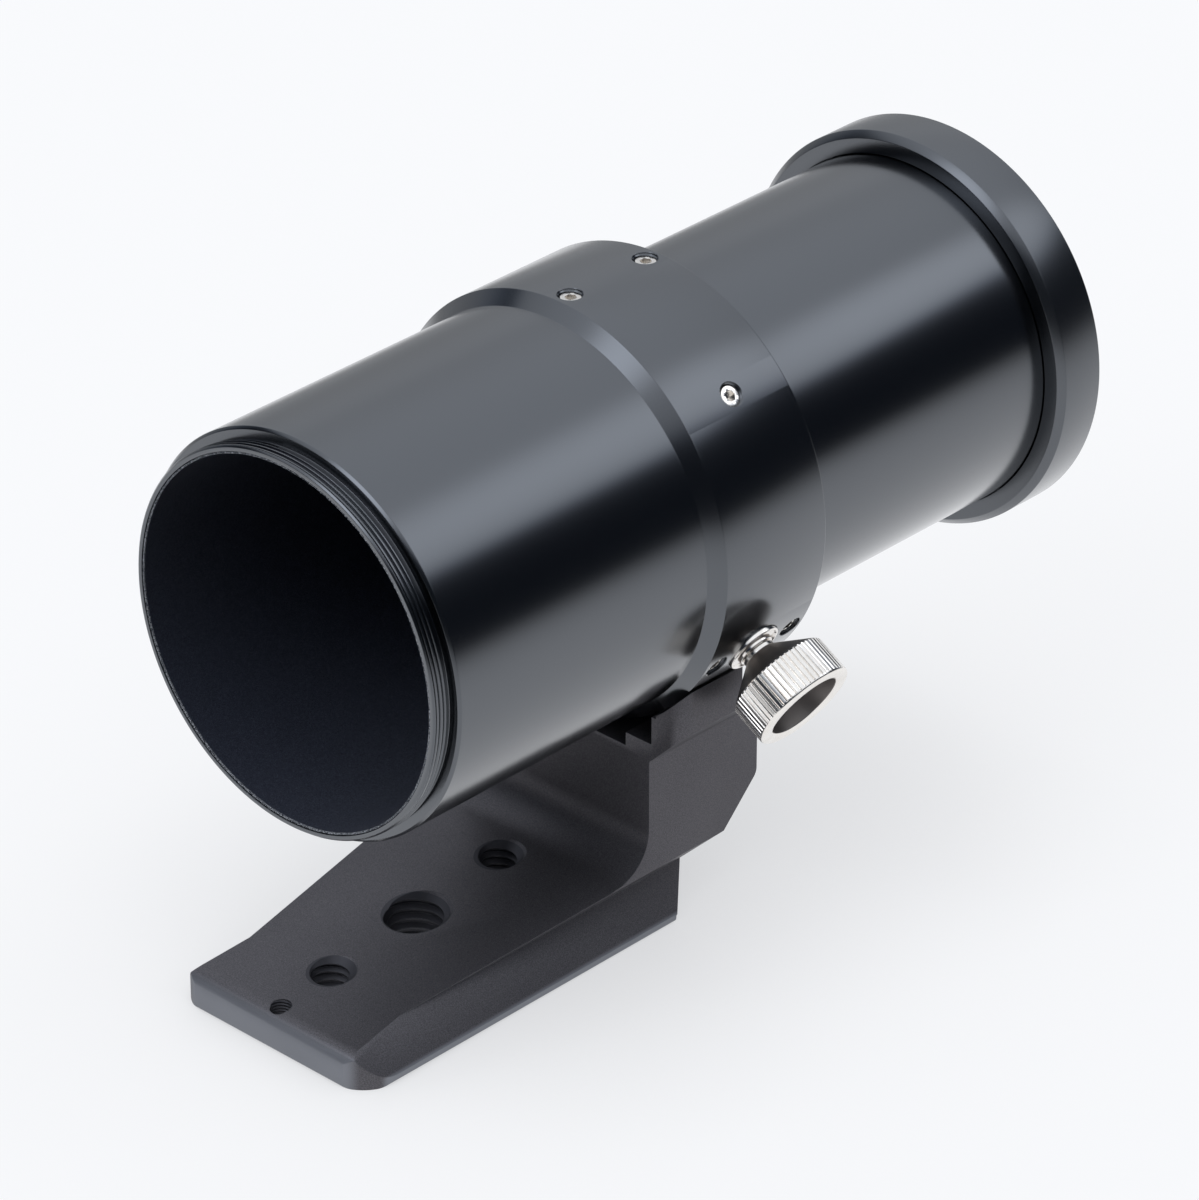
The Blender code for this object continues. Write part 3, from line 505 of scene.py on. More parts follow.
def black_anodised(name, roughness):
    """Turned aluminium dyed black: a dark mirror blurred by its satin finish."""
    made, tree, shader = new_material(name)
    marks = place_group(tree, LATHE_MARKS, Marks_per_mm=9.0, Cloud=0.03)
    feed(tree, object_place(tree), marks.inputs["Place"])
    edge = place_group(tree, EDGE_SOFTENING_AND_HIGHLIGHT, Radius=0.08 * MM)
    # The edges are painted lighter: a painted highlight.
    tone = mix_colour(tree, edge.outputs["Highlight mask"], ANODISED, scaled(ANODISED, 1.5))
    feed(tree, tone, shader.inputs["Base Color"])
    rough = maths(tree, "ADD", marks.outputs["Roughness change"], roughness)
    feed(tree, rough, shader.inputs["Roughness"])
    set_inputs(shader, Metallic=1.0, Coat_Weight=1.0, Coat_IOR=1.6, Coat_Roughness=roughness)
    normal = bump(tree, marks.outputs["Height"], 0.0006 * MM, 1.0, edge.outputs["Normal"])
    feed(tree, normal, shader.inputs["Normal"])
    feed(tree, normal, shader.inputs["Coat Normal"])
    return made


def blasted_anodised(name):
    """Bead-blasted aluminium dyed black, a warm dark grey."""
    made, tree, shader = new_material(name)
    grain = place_group(tree, BLAST_GRAIN, Grain_per_mm=6.5)
    edge = place_group(tree, EDGE_SOFTENING_AND_HIGHLIGHT, Radius=0.12 * MM)
    parts = split(tree, object_place(tree))
    tone = mix_colour(tree, grain.outputs["Speckle"], BLASTED_PITS, BLASTED_PEAKS)
    # The plate's front and lips get a painted highlight.
    tone = mix_colour(tree, painted_highlight_mask(tree, parts), tone, BLASTED_PAINTED_HIGHLIGHT)
    # The threaded holes get painted shade.
    tone = mix_colour(tree, hole_shade_mask(tree, parts), tone, BLASTED_HOLE_SHADE)
    # The edges are painted lighter: a painted highlight.
    tone = mix_colour(tree, edge.outputs["Highlight mask"], tone, BLASTED_EDGE_HIGHLIGHT)
    feed(tree, tone, shader.inputs["Base Color"])
    feed(tree, ramp(tree, grain.outputs["Patch"], 0.2, 0.8, 0.44, 0.52), shader.inputs["Roughness"])
    set_inputs(shader, Metallic=0.68, Specular_Tint=(0.6, 0.6, 0.61, 1.0))
    normal = bump(tree, grain.outputs["Height"], 0.008 * MM, 0.8, edge.outputs["Normal"])
    feed(tree, normal, shader.inputs["Normal"])
    return made


def painted_highlight_mask(tree, parts):
    """One on the plate's front and on its two lips, which get a painted highlight, zero elsewhere."""
    near, far = [FOOT_LOW.y + away for away in PAINTED_HIGHLIGHT_FRONT]
    front = ramp(tree, parts["Y"], near, far, 1.0, 0.0)
    inner, outer = [PLATE_HALF_WIDTH - away for away in PAINTED_HIGHLIGHT_SIDE]
    side = ramp(tree, maths(tree, "ABSOLUTE", parts["X"]), inner, outer)
    low = ramp(tree, parts["Z"], CLAMP_LIP, CLAMP_LIP + PAINTED_HIGHLIGHT_LIP, 1.0, 0.0)
    return maths(tree, "MAXIMUM", front, maths(tree, "MULTIPLY", side, low))


def hole_shade_mask(tree, parts):
    """One in the plate's threaded holes, which get painted shade, zero elsewhere."""
    inside = 0.0
    for along, _, _, _, mouth in PLATE_HOLES.values():
        away = maths(tree, "SUBTRACT", parts["Y"], along)
        reach = mouth - HOLE_MOUTH_INSET
        in_hole = maths(tree, "LESS_THAN", squares(tree, parts["X"], away), reach**2)
        inside = maths(tree, "MAXIMUM", inside, in_hole)
    return inside


def black_flock(name, mouth=None):
    """Short black fibres; a mouth, given by its local height, also has a few bright bits of glue."""
    made, tree, shader = new_material(name)
    place = object_place(tree)
    fibres = noise(tree, place, 9000.0, 3.0, 0.7)
    clumps = noise(tree, place, 2200.0, 2.0, 0.5)
    thickness = ramp(tree, clumps, 0.2, 0.8, 0.55, 1.0)
    pile = maths(tree, "MULTIPLY", ramp(tree, fibres, 0.35, 0.75), thickness)
    tone = mix_colour(tree, pile, FLOCK_DEEP, FLOCK_TIPS)
    if mouth is not None:
        nearness = ramp(tree, split(tree, place)["Z"], mouth, mouth + 0.3 * MM, 1.0, 0.0)
        bits = ramp(tree, noise(tree, place, 6000.0, 2.0, 0.6), 0.42, 0.62)
        tone = mix_colour(tree, maths(tree, "MULTIPLY", nearness, bits), tone, GLUE)
    feed(tree, tone, shader.inputs["Base Color"])
    set_inputs(shader, Roughness=1.0, Specular_IOR_Level=0.1, Sheen_Weight=0.06, Sheen_Roughness=0.5)
    feed(tree, bump(tree, pile, 0.06 * MM, 0.8), shader.inputs["Normal"])
    return made


def bright_nickel(name, roughness, dull=None, screw_frame=None):
    """Nickel plate over turned brass, slightly warm; a dull part is given by its sizes.

    A mesh that doesn't lie round its own Z gives the frame of its turning axis.
    """
    made, tree, shader = new_material(name)
    place = object_place(tree)
    if screw_frame is not None:
        turned = add_node(tree, "ShaderNodeMapping", vector_type="TEXTURE")
        feed(tree, place, turned.inputs["Vector"])
        set_inputs(turned, Location=screw_frame.to_translation(), Rotation=screw_frame.to_euler())
        place = turned.outputs["Vector"]
    marks = place_group(tree, LATHE_MARKS, Marks_per_mm=11.0, Cloud=0.05)
    feed(tree, place, marks.inputs["Place"])
    edge = place_group(tree, EDGE_SOFTENING_AND_HIGHLIGHT, Radius=0.06 * MM)
    stain = ramp(tree, noise(tree, place, 400.0, 2.0), 0.3, 0.8)
    tone = mix_colour(tree, stain, NICKEL_CLEAN, NICKEL_STAINED)
    rough = maths(tree, "ADD", marks.outputs["Roughness change"], roughness)
    if dull is not None:
        mask = dull_mask(tree, place, *dull)
        tone = mix_colour(tree, mask, tone, NICKEL_DULL)
        rough = maths(tree, "ADD", rough, maths(tree, "MULTIPLY", mask, 0.25))
    feed(tree, tone, shader.inputs["Base Color"])
    feed(tree, rough, shader.inputs["Roughness"])
    set_inputs(shader, Metallic=1.0)
    normal = bump(tree, marks.outputs["Height"], 0.0012 * MM, 1.0, edge.outputs["Normal"])
    feed(tree, normal, shader.inputs["Normal"])
    return made


def dull_mask(tree, place, reach, floor, low, high):
    """One in the cup above its floor and on the cone between two heights, zero elsewhere."""
    parts = split(tree, place)
    radius = maths(tree, "SQRT", squares(tree, parts["X"], parts["Y"]))
    near = maths(tree, "LESS_THAN", radius, reach + CUP_WALL_REACH)
    over_floor = maths(tree, "GREATER_THAN", parts["Z"], floor - CUP_FLOOR_REACH)
    in_cup = maths(tree, "MULTIPLY", near, over_floor)
    over_low = maths(tree, "GREATER_THAN", parts["Z"], low)
    under_high = maths(tree, "LESS_THAN", parts["Z"], high)
    on_cone = maths(tree, "MULTIPLY", over_low, under_high)
    return maths(tree, "MAXIMUM", in_cup, on_cone)


def plain_hidden(name, colour, roughness, metallic):
    """Finish of a small inner piece, with a fine machined grain."""
    made, tree, shader = new_material(name)
    grain = place_group(tree, BLAST_GRAIN, Grain_per_mm=5.0)
    tone = mix_colour(tree, grain.outputs["Speckle"], scaled(colour, 0.8), colour)
    feed(tree, tone, shader.inputs["Base Color"])
    set_inputs(shader, Roughness=roughness, Metallic=metallic)
    feed(tree, bump(tree, grain.outputs["Height"], 0.003 * MM, 0.6), shader.inputs["Normal"])
    return made


# Meshes
def corner(radius, height, rounding=0.0):
    """A corner of a turned outline."""
    return ("corner", radius, height, rounding)


def thread(crest, root, low, high, pitch):
    """A stretch of thread in a turned outline, walked from low to high or from high to low."""
    return ("thread", crest, root, low, high, pitch)


def arc(centre, radius, start, end, steps=None):
    """Points on an arc, its ends included."""
    steps = steps or max(2, math.ceil(abs(end - start) / ARC_STEP))
    turns = [start + (end - start) * k / steps for k in range(steps + 1)]
    return [(centre[0] + radius * math.cos(t), centre[1] + radius * math.sin(t)) for t in turns]


def round_corner(before, here, after, radius, steps=None):
    """The arc that replaces a corner between two neighbours."""
    point = Vector(here)
    back = (Vector(before) - point).normalized()
    ahead = (Vector(after) - point).normalized()
    half = back.angle(ahead) / 2.0
    centre = point + (back + ahead).normalized() * (radius / math.sin(half))
    start = point + back * (radius / math.tan(half)) - centre
    end = point + ahead * (radius / math.tan(half)) - centre
    first = math.atan2(start.y, start.x)
    sweep = (math.atan2(end.y, end.x) - first + math.pi) % (2.0 * math.pi) - math.pi
    return arc(centre, radius, first, first + sweep, steps)


def rounded(corners):
    """Outline through (a, b, radius) corners, each rounded by its radius."""
    outline = []
    for before, here, after in zip(corners[-1:] + corners[:-1], corners, corners[1:] + corners[:1]):
        if here[2] == 0.0:
            outline.append(tuple(here[:2]))
        else:
            outline.extend(round_corner(before[:2], here[:2], after[:2], here[2]))
    return outline


def mirrored(outline):
    """Close a right-hand half outline, given from the middle outwards, with its mirror image."""
    return outline + [(-a, b) for a, b in reversed(outline) if abs(a) > WELD]


def thread_rows(item, share):
    """(radius, height) of one stretch of thread at a share of a turn; its ends are cut square."""
    _, crest, root, low, high, pitch = item
    shape = ((0.0, root), (0.15, root), (0.46, crest), (0.69, crest), (1.0, root))
    bottom, top = min(low, high), max(low, high)

    def radius_at(phase):
        for (a, r), (b, s) in zip(shape, shape[1:]):
            if a <= phase <= b:
                return r + (s - r) * (phase - a) / (b - a)
        return root

    rows = []
    turns = math.ceil((top - bottom) / pitch) + 1
    for turn in range(-1, turns):
        for phase, radius in shape[:-1]:
            height = bottom + (turn + phase + share) * pitch
            if height < bottom or height > top:
                height = min(max(height, bottom), top)
                radius = radius_at(((height - bottom) / pitch - share) % 1.0)
            rows.append((radius, height))
    return rows if low < high else rows[::-1]


def outline_rows(items, share):
    """All the points of a turned outline at a share of a turn."""
    ends = []
    for item in items:
        if item[0] == "corner":
            ends.append((item[1:3], item[1:3]))
        else:
            ends.append(((item[2], item[3]), (item[2], item[4])))
    rows = []
    for k, item in enumerate(items):
        if item[0] == "thread":
            rows.extend(thread_rows(item, share))
        elif item[3] > 0.0:
            before = ends[k - 1][1]
            after = ends[(k + 1) % len(items)][0]
            rows.extend(round_corner(before, item[1:3], after, item[3], ROUND_STEPS))
        else:
            rows.append(item[1:3])
    return rows


def turned_mesh(name, items, segments):
    """Spin a closed outline round local Z; threads climb as they turn."""
    work = bmesh.new()
    columns = []
    for step in range(segments + 1):
        turn = 2.0 * math.pi * step / segments
        rows = outline_rows(items, step / segments)
        across, along = math.cos(turn), math.sin(turn)
        columns.append([work.verts.new((r * across, r * along, h)) for r, h in rows])
    for left, right in zip(columns, columns[1:]):
        for k in range(len(left)):
            n = (k + 1) % len(left)
            work.faces.new((left[k], right[k], right[n], left[n]))
    return finished_mesh(name, work)


def finished_mesh(name, work):
    """Weld, orient and shade a mesh."""
    bmesh.ops.remove_doubles(work, verts=work.verts, dist=WELD)
    bmesh.ops.recalc_face_normals(work, faces=work.faces)
    mesh = bpy.data.meshes.new(name)
    work.to_mesh(mesh)
    work.free()
    shade_round(mesh)
    return mesh


def shade_round(mesh):
    """Shade a mesh smooth, with sharp edges where its faces turn."""
    mesh.shade_smooth()
    mesh.set_sharp_from_angle(angle=SHARP_ANGLE)


def prism_mesh(name, outline, low, high, axis):
    """Extrude a closed outline along X, Y or Z; the outline holds the other two coordinates."""
    order = {
        "X": lambda a, b, c: (c, a, b),
        "Y": lambda a, b, c: (a, c, b),
        "Z": lambda a, b, c: (a, b, c),
    }
    work = bmesh.new()
    base = work.faces.new([work.verts.new(order[axis](a, b, low)) for a, b in outline])
    grown = bmesh.ops.extrude_face_region(work, geom=[base])
    raised = [item for item in grown["geom"] if isinstance(item, bmesh.types.BMVert)]
    bmesh.ops.translate(work, verts=raised, vec=order[axis](0.0, 0.0, high - low))
    return finished_mesh(name, work)


def barrel_frame():
    """Local Z runs along the barrel's axis."""
    return Matrix.Translation((0.0, 0.0, AXIS_HEIGHT)) @ Matrix.Rotation(-math.pi / 2.0, 4, "X")


def radial_frame(angle, along):
    """Local Z points out of the barrel's axis at an angle from +X; local X runs along the barrel."""
    turn = math.radians(angle)
    outward = Vector((math.cos(turn), 0.0, math.sin(turn)))
    lengthwise = Vector((0.0, 1.0, 0.0))
    made = Matrix((lengthwise, outward.cross(lengthwise), outward)).transposed().to_4x4()
    made.translation = Vector((0.0, along, AXIS_HEIGHT))
    return made


def new_object(name, mesh, place=None):
    """Link an object that shows a mesh at a place."""
    made = bpy.data.objects.new(name, mesh)
    bpy.context.scene.collection.objects.link(made)
    if place is not None:
        made.matrix_world = place
    return made


def turned_object(name, items, segments, place=None):
    """An object turned from an outline."""
    return new_object(name, turned_mesh(name, items, segments), place)


def cut(target, tools, operation="DIFFERENCE"):
    """Apply Booleans to an object, one tool after another, and delete the tools."""
    for tool in tools:
        step = target.modifiers.new(tool.name, "BOOLEAN")
        step.operation = operation
        step.solver = "EXACT"
        step.object = tool
    apply_modifiers(target)
    for tool in tools:
        bpy.data.objects.remove(tool)


def apply_modifiers(target):
    """Keep the evaluated mesh and drop the modifiers."""
    bpy.context.view_layer.update()
    evaluated = target.evaluated_get(bpy.context.evaluated_depsgraph_get())
    mesh = bpy.data.meshes.new_from_object(evaluated)
    target.modifiers.clear()
    old = target.data
    target.data = mesh
    mesh.name = old.name
    bpy.data.meshes.remove(old)


def true_round_shading(mesh):
    """Faces of a turned surface that holes cut into get the round surface's own normals."""
    shade_round(mesh)
    normals = [Vector(item.vector) for item in mesh.corner_normals]
    for face in mesh.polygons:
        if len(face.vertices) <= 4:
            continue
        middle = Vector((face.center.x, face.center.y, 0.0)).normalized()
        if abs(face.normal.dot(middle)) < 0.999:
            continue
        side = math.copysign(1.0, face.normal.dot(middle))
        for loop in face.loop_indices:
            point = mesh.vertices[mesh.loops[loop].vertex_index].co
            normals[loop] = Vector((point.x, point.y, 0.0)).normalized() * side
    mesh.normals_split_custom_set(normals)


def dress(piece, material, body, slot, *nodes):
    """Give a piece its material, its body and the nodes it stands for. The slot argument is not used.
    """
    piece.data.materials.clear()
    piece.data.materials.append(material)
    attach(piece, body)
    if nodes:
        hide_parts(*nodes)
    return piece


def screw_places():
    """Node name, angle and place along the barrel of each set screw."""
    places = {"set_screw_single": (SINGLE_SCREW_ANGLE, SCREW_PLANE)}
    for side, angle in PAIR_ANGLES.items():
        places[f"set_screw_{side}_front"] = (angle, SCREW_PLANE - PAIR_SPACING / 2.0)
        places[f"set_screw_{side}_rear"] = (angle, SCREW_PLANE + PAIR_SPACING / 2.0)
    return places


# Pieces
def threaded_hole_tool(name, radius, depth, low, mouth, mouth_radius, pitch, place):
    """A tool that cuts a threaded hole whose mouth widens at 45 degrees."""
    flare = mouth_radius - radius
    items = [
        corner(0.0, low),
        corner(radius - depth, low),
        thread(radius, radius - depth, low + WELD * 10.0, mouth - flare, pitch),
        corner(mouth_radius + OVERCUT, mouth + OVERCUT),
        corner(0.0, mouth + OVERCUT),
    ]
    return turned_object(name, items, HOLE_SEGMENTS, place)


def make_barrel():
    """Front tube, threaded nose and collar in one piece."""
    shoulder = NOSE_Y + NOSE_LENGTH
    relief = NOSE_RADIUS - NOSE_RELIEF_DEPTH
    thread_start = NOSE_Y + NOSE_CHAMFER
    thread_end = shoulder - NOSE_RELIEF
    groove_rear = COLLAR_REAR - GROOVE_REAR_LIP
    items = [
        corner(BORE_RADIUS, NOSE_Y, FINE_ROUND),
        corner(NOSE_RADIUS - NOSE_CHAMFER, NOSE_Y, FINE_ROUND),
        corner(NOSE_RADIUS - NOSE_EDGE_STEP, thread_start),
        thread(NOSE_RADIUS, NOSE_RADIUS - NOSE_THREAD_DEPTH, thread_start, thread_end, NOSE_PITCH),
        corner(relief, thread_end + NOSE_THREAD_RUNOUT),
        corner(relief, shoulder, NOSE_RELIEF_ROUND),
        corner(FRONT_TUBE_RADIUS - EDGE, shoulder, EDGE_ROUND / 2.0),
        corner(FRONT_TUBE_RADIUS, shoulder + EDGE, EDGE_ROUND),
        corner(FRONT_TUBE_RADIUS, 0.0, COLLAR_FOOT_ROUND),
        corner(COLLAR_RADIUS, COLLAR_CHAMFER, EDGE_ROUND),
        corner(COLLAR_RADIUS, COLLAR_REAR - EDGE, EDGE_ROUND),
        corner(COLLAR_RADIUS - EDGE, COLLAR_REAR, EDGE_ROUND),
        corner(REAR_LIP_RADIUS, COLLAR_REAR, EDGE_ROUND),
        corner(REAR_LIP_RADIUS, groove_rear),
        corner(GROOVE_RADIUS, groove_rear),
        corner(GROOVE_RADIUS, GROOVE_FRONT),
        corner(BORE_RADIUS, GROOVE_FRONT),
    ]
    piece = turned_object("turned_barrel", items, BARREL_SEGMENTS, barrel_frame())
    tools = []
    for node, (angle, along) in screw_places().items():
        tools.append(threaded_hole_tool(
            f"{node}_hole",
            SCREW_HOLE_RADIUS,
            SCREW_THREAD_DEPTH,
            GROOVE_RADIUS - OVERCUT / 2.0,
            COLLAR_RADIUS,
            SCREW_HOLE_RADIUS + SCREW_HOLE_FLARE,
            SCREW_PITCH,
            radial_frame(angle, along),
        ))
    seat = [
        corner(0.0, GROOVE_RADIUS - OVERCUT / 2.0),
        corner(BUSH_RADIUS + BUSH_CLEARANCE, GROOVE_RADIUS - OVERCUT / 2.0),
        corner(BUSH_RADIUS + BUSH_CLEARANCE, BUSH_SEAT),
        corner(BUSH_FLANGE_RADIUS + BUSH_CLEARANCE, BUSH_SEAT),
        corner(BUSH_FLANGE_RADIUS + BUSH_CLEARANCE, COLLAR_RADIUS + OVERCUT),
        corner(0.0, COLLAR_RADIUS + OVERCUT),
    ]
    place = radial_frame(THUMB_SCREW_ANGLE, SCREW_PLANE)
    tools.append(turned_object("bush_seat", seat, HOLE_SEGMENTS, place))
    cut(piece, tools)
    true_round_shading(piece.data)
    finish = black_anodised("anodised barrel", 0.2)
    return dress(piece, finish, "barrel", "black_anodised", "main_barrel")


def make_sleeve(name, low, high, body, node, mouth=None):
    """A flocked sleeve in the space of its node."""
    outer = (high.x - low.x) / 2.0
    inner = outer - LINING_THICKNESS
    items = [
        corner(inner, low.y),
        corner(outer, low.y),
        corner(outer, high.y),
        corner(inner, high.y),
    ]
    piece = turned_object(name, items, BARREL_SEGMENTS, barrel_frame())
    return dress(piece, black_flock(f"{name} flock", mouth), body, "flock", node)


def make_draw_tube():
    """The sliding tube."""
    items = [
        corner(TUBE_RADIUS - TUBE_WALL, TUBE_LOW.y),
        corner(TUBE_RADIUS, TUBE_LOW.y, TUBE_FRONT_ROUND),
        corner(TUBE_RADIUS, TUBE_HIGH.y),
        corner(TUBE_RADIUS - TUBE_WALL, TUBE_HIGH.y),
    ]
    piece = turned_object("sliding_tube", items, BARREL_SEGMENTS, barrel_frame())
    finish = black_anodised("anodised draw tube", 0.205)
    return dress(piece, finish, "draw_tube", "black_anodised", "draw_tube")


def make_end_ring():
    """Ring at the tube's end, threaded inside for the next fitting."""
    land_front = TUBE_HIGH.y + FACE_GAP
    land_rear = land_front + RING_LAND_WIDTH
    mouth = RING_HIGH.y - EDGE
    thread_root = RING_THREAD_RADIUS
    thread_crest = RING_THREAD_RADIUS - NOSE_THREAD_DEPTH
    items = [
        corner(RING_SEAT_RADIUS, RING_LOW.y, FINE_ROUND),
        corner(END_RING_RADIUS - RING_CHAMFER, RING_LOW.y, EDGE_ROUND),
        corner(END_RING_RADIUS, RING_LOW.y + RING_CHAMFER, EDGE_ROUND),
        corner(END_RING_RADIUS, RING_HIGH.y - EDGE, EDGE_ROUND),
        corner(END_RING_RADIUS - EDGE, RING_HIGH.y, EDGE_ROUND / 2.0),
        corner(RING_THREAD_RADIUS + EDGE, RING_HIGH.y, EDGE_ROUND / 2.0),
        corner(RING_THREAD_RADIUS, mouth),
        thread(thread_crest, thread_root, mouth, land_rear + RING_THREAD_END, NOSE_PITCH),
        corner(RING_THREAD_RADIUS, land_rear + RING_THREAD_RELIEF),
        corner(RING_THREAD_RADIUS, land_rear),
        corner(RING_LAND_RADIUS, land_rear, FINE_ROUND),
        corner(RING_LAND_RADIUS, land_front),
        corner(RING_SEAT_RADIUS, land_front),
    ]
    piece = turned_object("threaded_end_ring", items, BARREL_SEGMENTS, barrel_frame())
    finish = black_anodised("anodised end ring", 0.26)
    return dress(piece, finish, "draw_tube", "black_anodised", "end_ring")


def hexagon(flats):
    """Corners of a hexagon from its width across flats."""
    reach = flats / 2.0 / math.cos(math.pi / 6.0)
    turns = [math.pi * k / 3.0 for k in range(6)]
    return [(reach * math.cos(t), reach * math.sin(t)) for t in turns]


def make_set_screws():
    """Nickel set screws with hexagon sockets, all from one mesh."""
    core = SCREW_RADIUS - SCREW_THREAD_DEPTH
    thread_start = SCREW_TIP + SCREW_CHAMFER
    items = [
        corner(0.0, SCREW_TIP),
        corner(core * SCREW_TIP_SHARE, SCREW_TIP),
        corner(core, thread_start),
        thread(SCREW_RADIUS, core, thread_start, SCREW_HEAD - SCREW_CHAMFER, SCREW_PITCH),
        corner(SCREW_RADIUS - SCREW_CHAMFER, SCREW_HEAD, FINE_ROUND),
        corner(0.0, SCREW_HEAD),
    ]
    blank = turned_object("set_screw_blank", items, SCREW_SEGMENTS)
    floor = SCREW_HEAD - SOCKET_DEPTH
    socket = prism_mesh("socket", hexagon(SOCKET_FLATS), floor, SCREW_HEAD + OVERCUT, "Z")
    mouth_items = [
        corner(0.0, SCREW_HEAD - SOCKET_MOUTH_DROP),
        corner(SOCKET_FLATS / 2.0 + SOCKET_MOUTH_SPREAD, SCREW_HEAD + SOCKET_MOUTH_RISE),
        corner(0.0, SCREW_HEAD + SOCKET_MOUTH_RISE),
    ]
    mouth = turned_object("socket_mouth", mouth_items, SCREW_SEGMENTS)
    cut(blank, [new_object("socket", socket), mouth])
    shade_round(blank.data)
    finish = bright_nickel("nickel set screw", 0.18)
    for node, (angle, along) in screw_places().items():
        name = node.replace("set_screw", "grub_screw")
        piece = new_object(name, blank.data.copy(), radial_frame(angle, along))
        dress(piece, finish, "barrel", "nickel", node)
    bpy.data.objects.remove(blank)


def make_bush():
    """Flanged bush under the thumb screw."""
    base = GROOVE_RADIUS + BUSH_CLEARANCE
    flange_base = BUSH_SEAT + BUSH_CLEARANCE
    step = BUSH_FLANGE_TOP - BUSH_STEP_DROP
    items = [
        corner(BUSH_BORE, base),
        corner(BUSH_RADIUS, base),
        corner(BUSH_RADIUS, flange_base),
        corner(BUSH_FLANGE_RADIUS, flange_base),
        corner(BUSH_FLANGE_RADIUS, BUSH_FLANGE_TOP, BUSH_OUTER_ROUND),
        corner(BUSH_FLANGE_RADIUS - BUSH_RIM_WIDTH, BUSH_FLANGE_TOP, BUSH_STEP_ROUND),
        corner(BUSH_FLANGE_RADIUS - BUSH_STEP_WIDTH, step, BUSH_STEP_ROUND),
        corner(BUSH_BOSS_RADIUS, step, BUSH_BOSS_ROUND),
        corner(BUSH_BOSS_RADIUS, BUSH_TOP, EDGE_ROUND),
        corner(BUSH_BORE, BUSH_TOP, BUSH_BOSS_ROUND),
    ]
    place = radial_frame(THUMB_SCREW_ANGLE, SCREW_PLANE)
    piece = turned_object("flanged_bush", items, BUSH_SEGMENTS, place)
    finish = bright_nickel("nickel bush", 0.14)
    return dress(piece, finish, "barrel", "nickel", "thumb_screw_bush")


def flute_shape(phase):
    """Depth share of a flute over one pitch: a broad crest and a narrow round groove."""
    off = abs(phase - 0.5)
    if off > FLUTE_HALF_GROOVE:
        return 0.0
    return 0.5 + 0.5 * math.cos(math.pi * off / FLUTE_HALF_GROOVE)


def thumb_screw_rings(cup_floor):
    """(radius, flute share, height) of each ring, from the stud's tip to the cup's floor."""
    rim_low = HEAD_FACE - HEAD_RIM
    fine = 0.1 * MM
    rim_radius = HEAD_RADIUS - RIM_STEP
    rings = [
        (0.0, 0.0, STUD_TIP),
        (STUD_RADIUS - STUD_CHAMFER, 0.0, STUD_TIP),
        (STUD_RADIUS, 0.0, STUD_TIP + STUD_CHAMFER),
        (STUD_RADIUS, 0.0, HUB_BASE),
        (HUB_RADIUS - HUB_CHAMFER, 0.0, HUB_BASE),
        (HUB_RADIUS, 0.0, HUB_BASE + HUB_CHAMFER),
        (HUB_RADIUS, 0.0, CONE_BASE),
        (HEAD_RADIUS - HEAD_BACK_WIDTH, 0.0, HEAD_BASE - HEAD_BACK_DROP),
        (HEAD_RADIUS - FLUTE_RUNOUT, 0.2, HEAD_BASE - fine),
        (HEAD_RADIUS, 1.0, HEAD_BASE + fine),
        (HEAD_RADIUS, 1.0, rim_low - FLUTE_RUNOUT),
        (HEAD_RADIUS, 0.8, rim_low),
        (rim_radius, 0.0, rim_low + fine),
    ]
    tall = HEAD_RIM - fine
    for across, up in arc((0.0, 0.0), 1.0, 0.0, math.pi / 2.0, RIM_STEPS)[1:]:
        radius = rim_radius - RIM_WIDTH * (1.0 - across)
        rings.append((radius, 0.0, HEAD_FACE - tall * (1.0 - up)))
    inward = rim_radius - RIM_WIDTH - CUP_RADIUS
    for across, up in arc((0.0, 0.0), 1.0, math.pi / 2.0, math.pi, RIM_INNER_STEPS)[1:]:
        radius = CUP_RADIUS + inward * (1.0 + across)
        rings.append((radius, 0.0, HEAD_FACE - RIM_INNER_DROP * (1.0 - up)))
    middle = 0.3 * CUP_FILLET
    rings += [
        (CUP_RADIUS, 0.0, cup_floor + CUP_FILLET),
        (CUP_RADIUS - middle, 0.0, cup_floor + middle),
        (CUP_RADIUS - CUP_FILLET, 0.0, cup_floor),
        (0.0, 0.0, cup_floor),
    ]
    return rings


def make_thumb_screw():
    """Stud, hub, cone and fluted head with its cup, lofted ring by ring."""
    cup_floor = HEAD_FACE - CUP_DEPTH
    work = bmesh.new()
    loops = []
    total = FLUTES * FLUTE_STEPS
    for radius, share, height in thumb_screw_rings(cup_floor):
        loop = []
        for k in range(total):
            turn = 2.0 * math.pi * k / total
            groove = flute_shape((k % FLUTE_STEPS) / FLUTE_STEPS)
            reach = radius - share * FLUTE_DEPTH * groove
            loop.append(work.verts.new((reach * math.cos(turn), reach * math.sin(turn), height)))
        loops.append(loop)
    for lower, upper in zip(loops, loops[1:]):
        for k in range(total):
            n = (k + 1) % total
            work.faces.new((lower[k], lower[n], upper[n], upper[k]))
    screw_frame = radial_frame(THUMB_SCREW_ANGLE, SCREW_PLANE)
    work.transform(screw_frame)
    piece = new_object("thumb_screw_turned", finished_mesh("thumb_screw_turned", work))
    dull = (CUP_RADIUS, cup_floor, CONE_BASE + 0.05 * MM, HEAD_BASE - 0.2 * MM)
    finish = bright_nickel("nickel thumb screw", 0.2, dull, screw_frame)
    return dress(piece, finish, "thumb_screw", "nickel", "thumb_screw")


def plate_top(along):
    """Height of the plate's sloped top face."""
    return PLATE_NOSE_HEIGHT + (along - FOOT_LOW.y) * math.tan(PLATE_SLOPE)


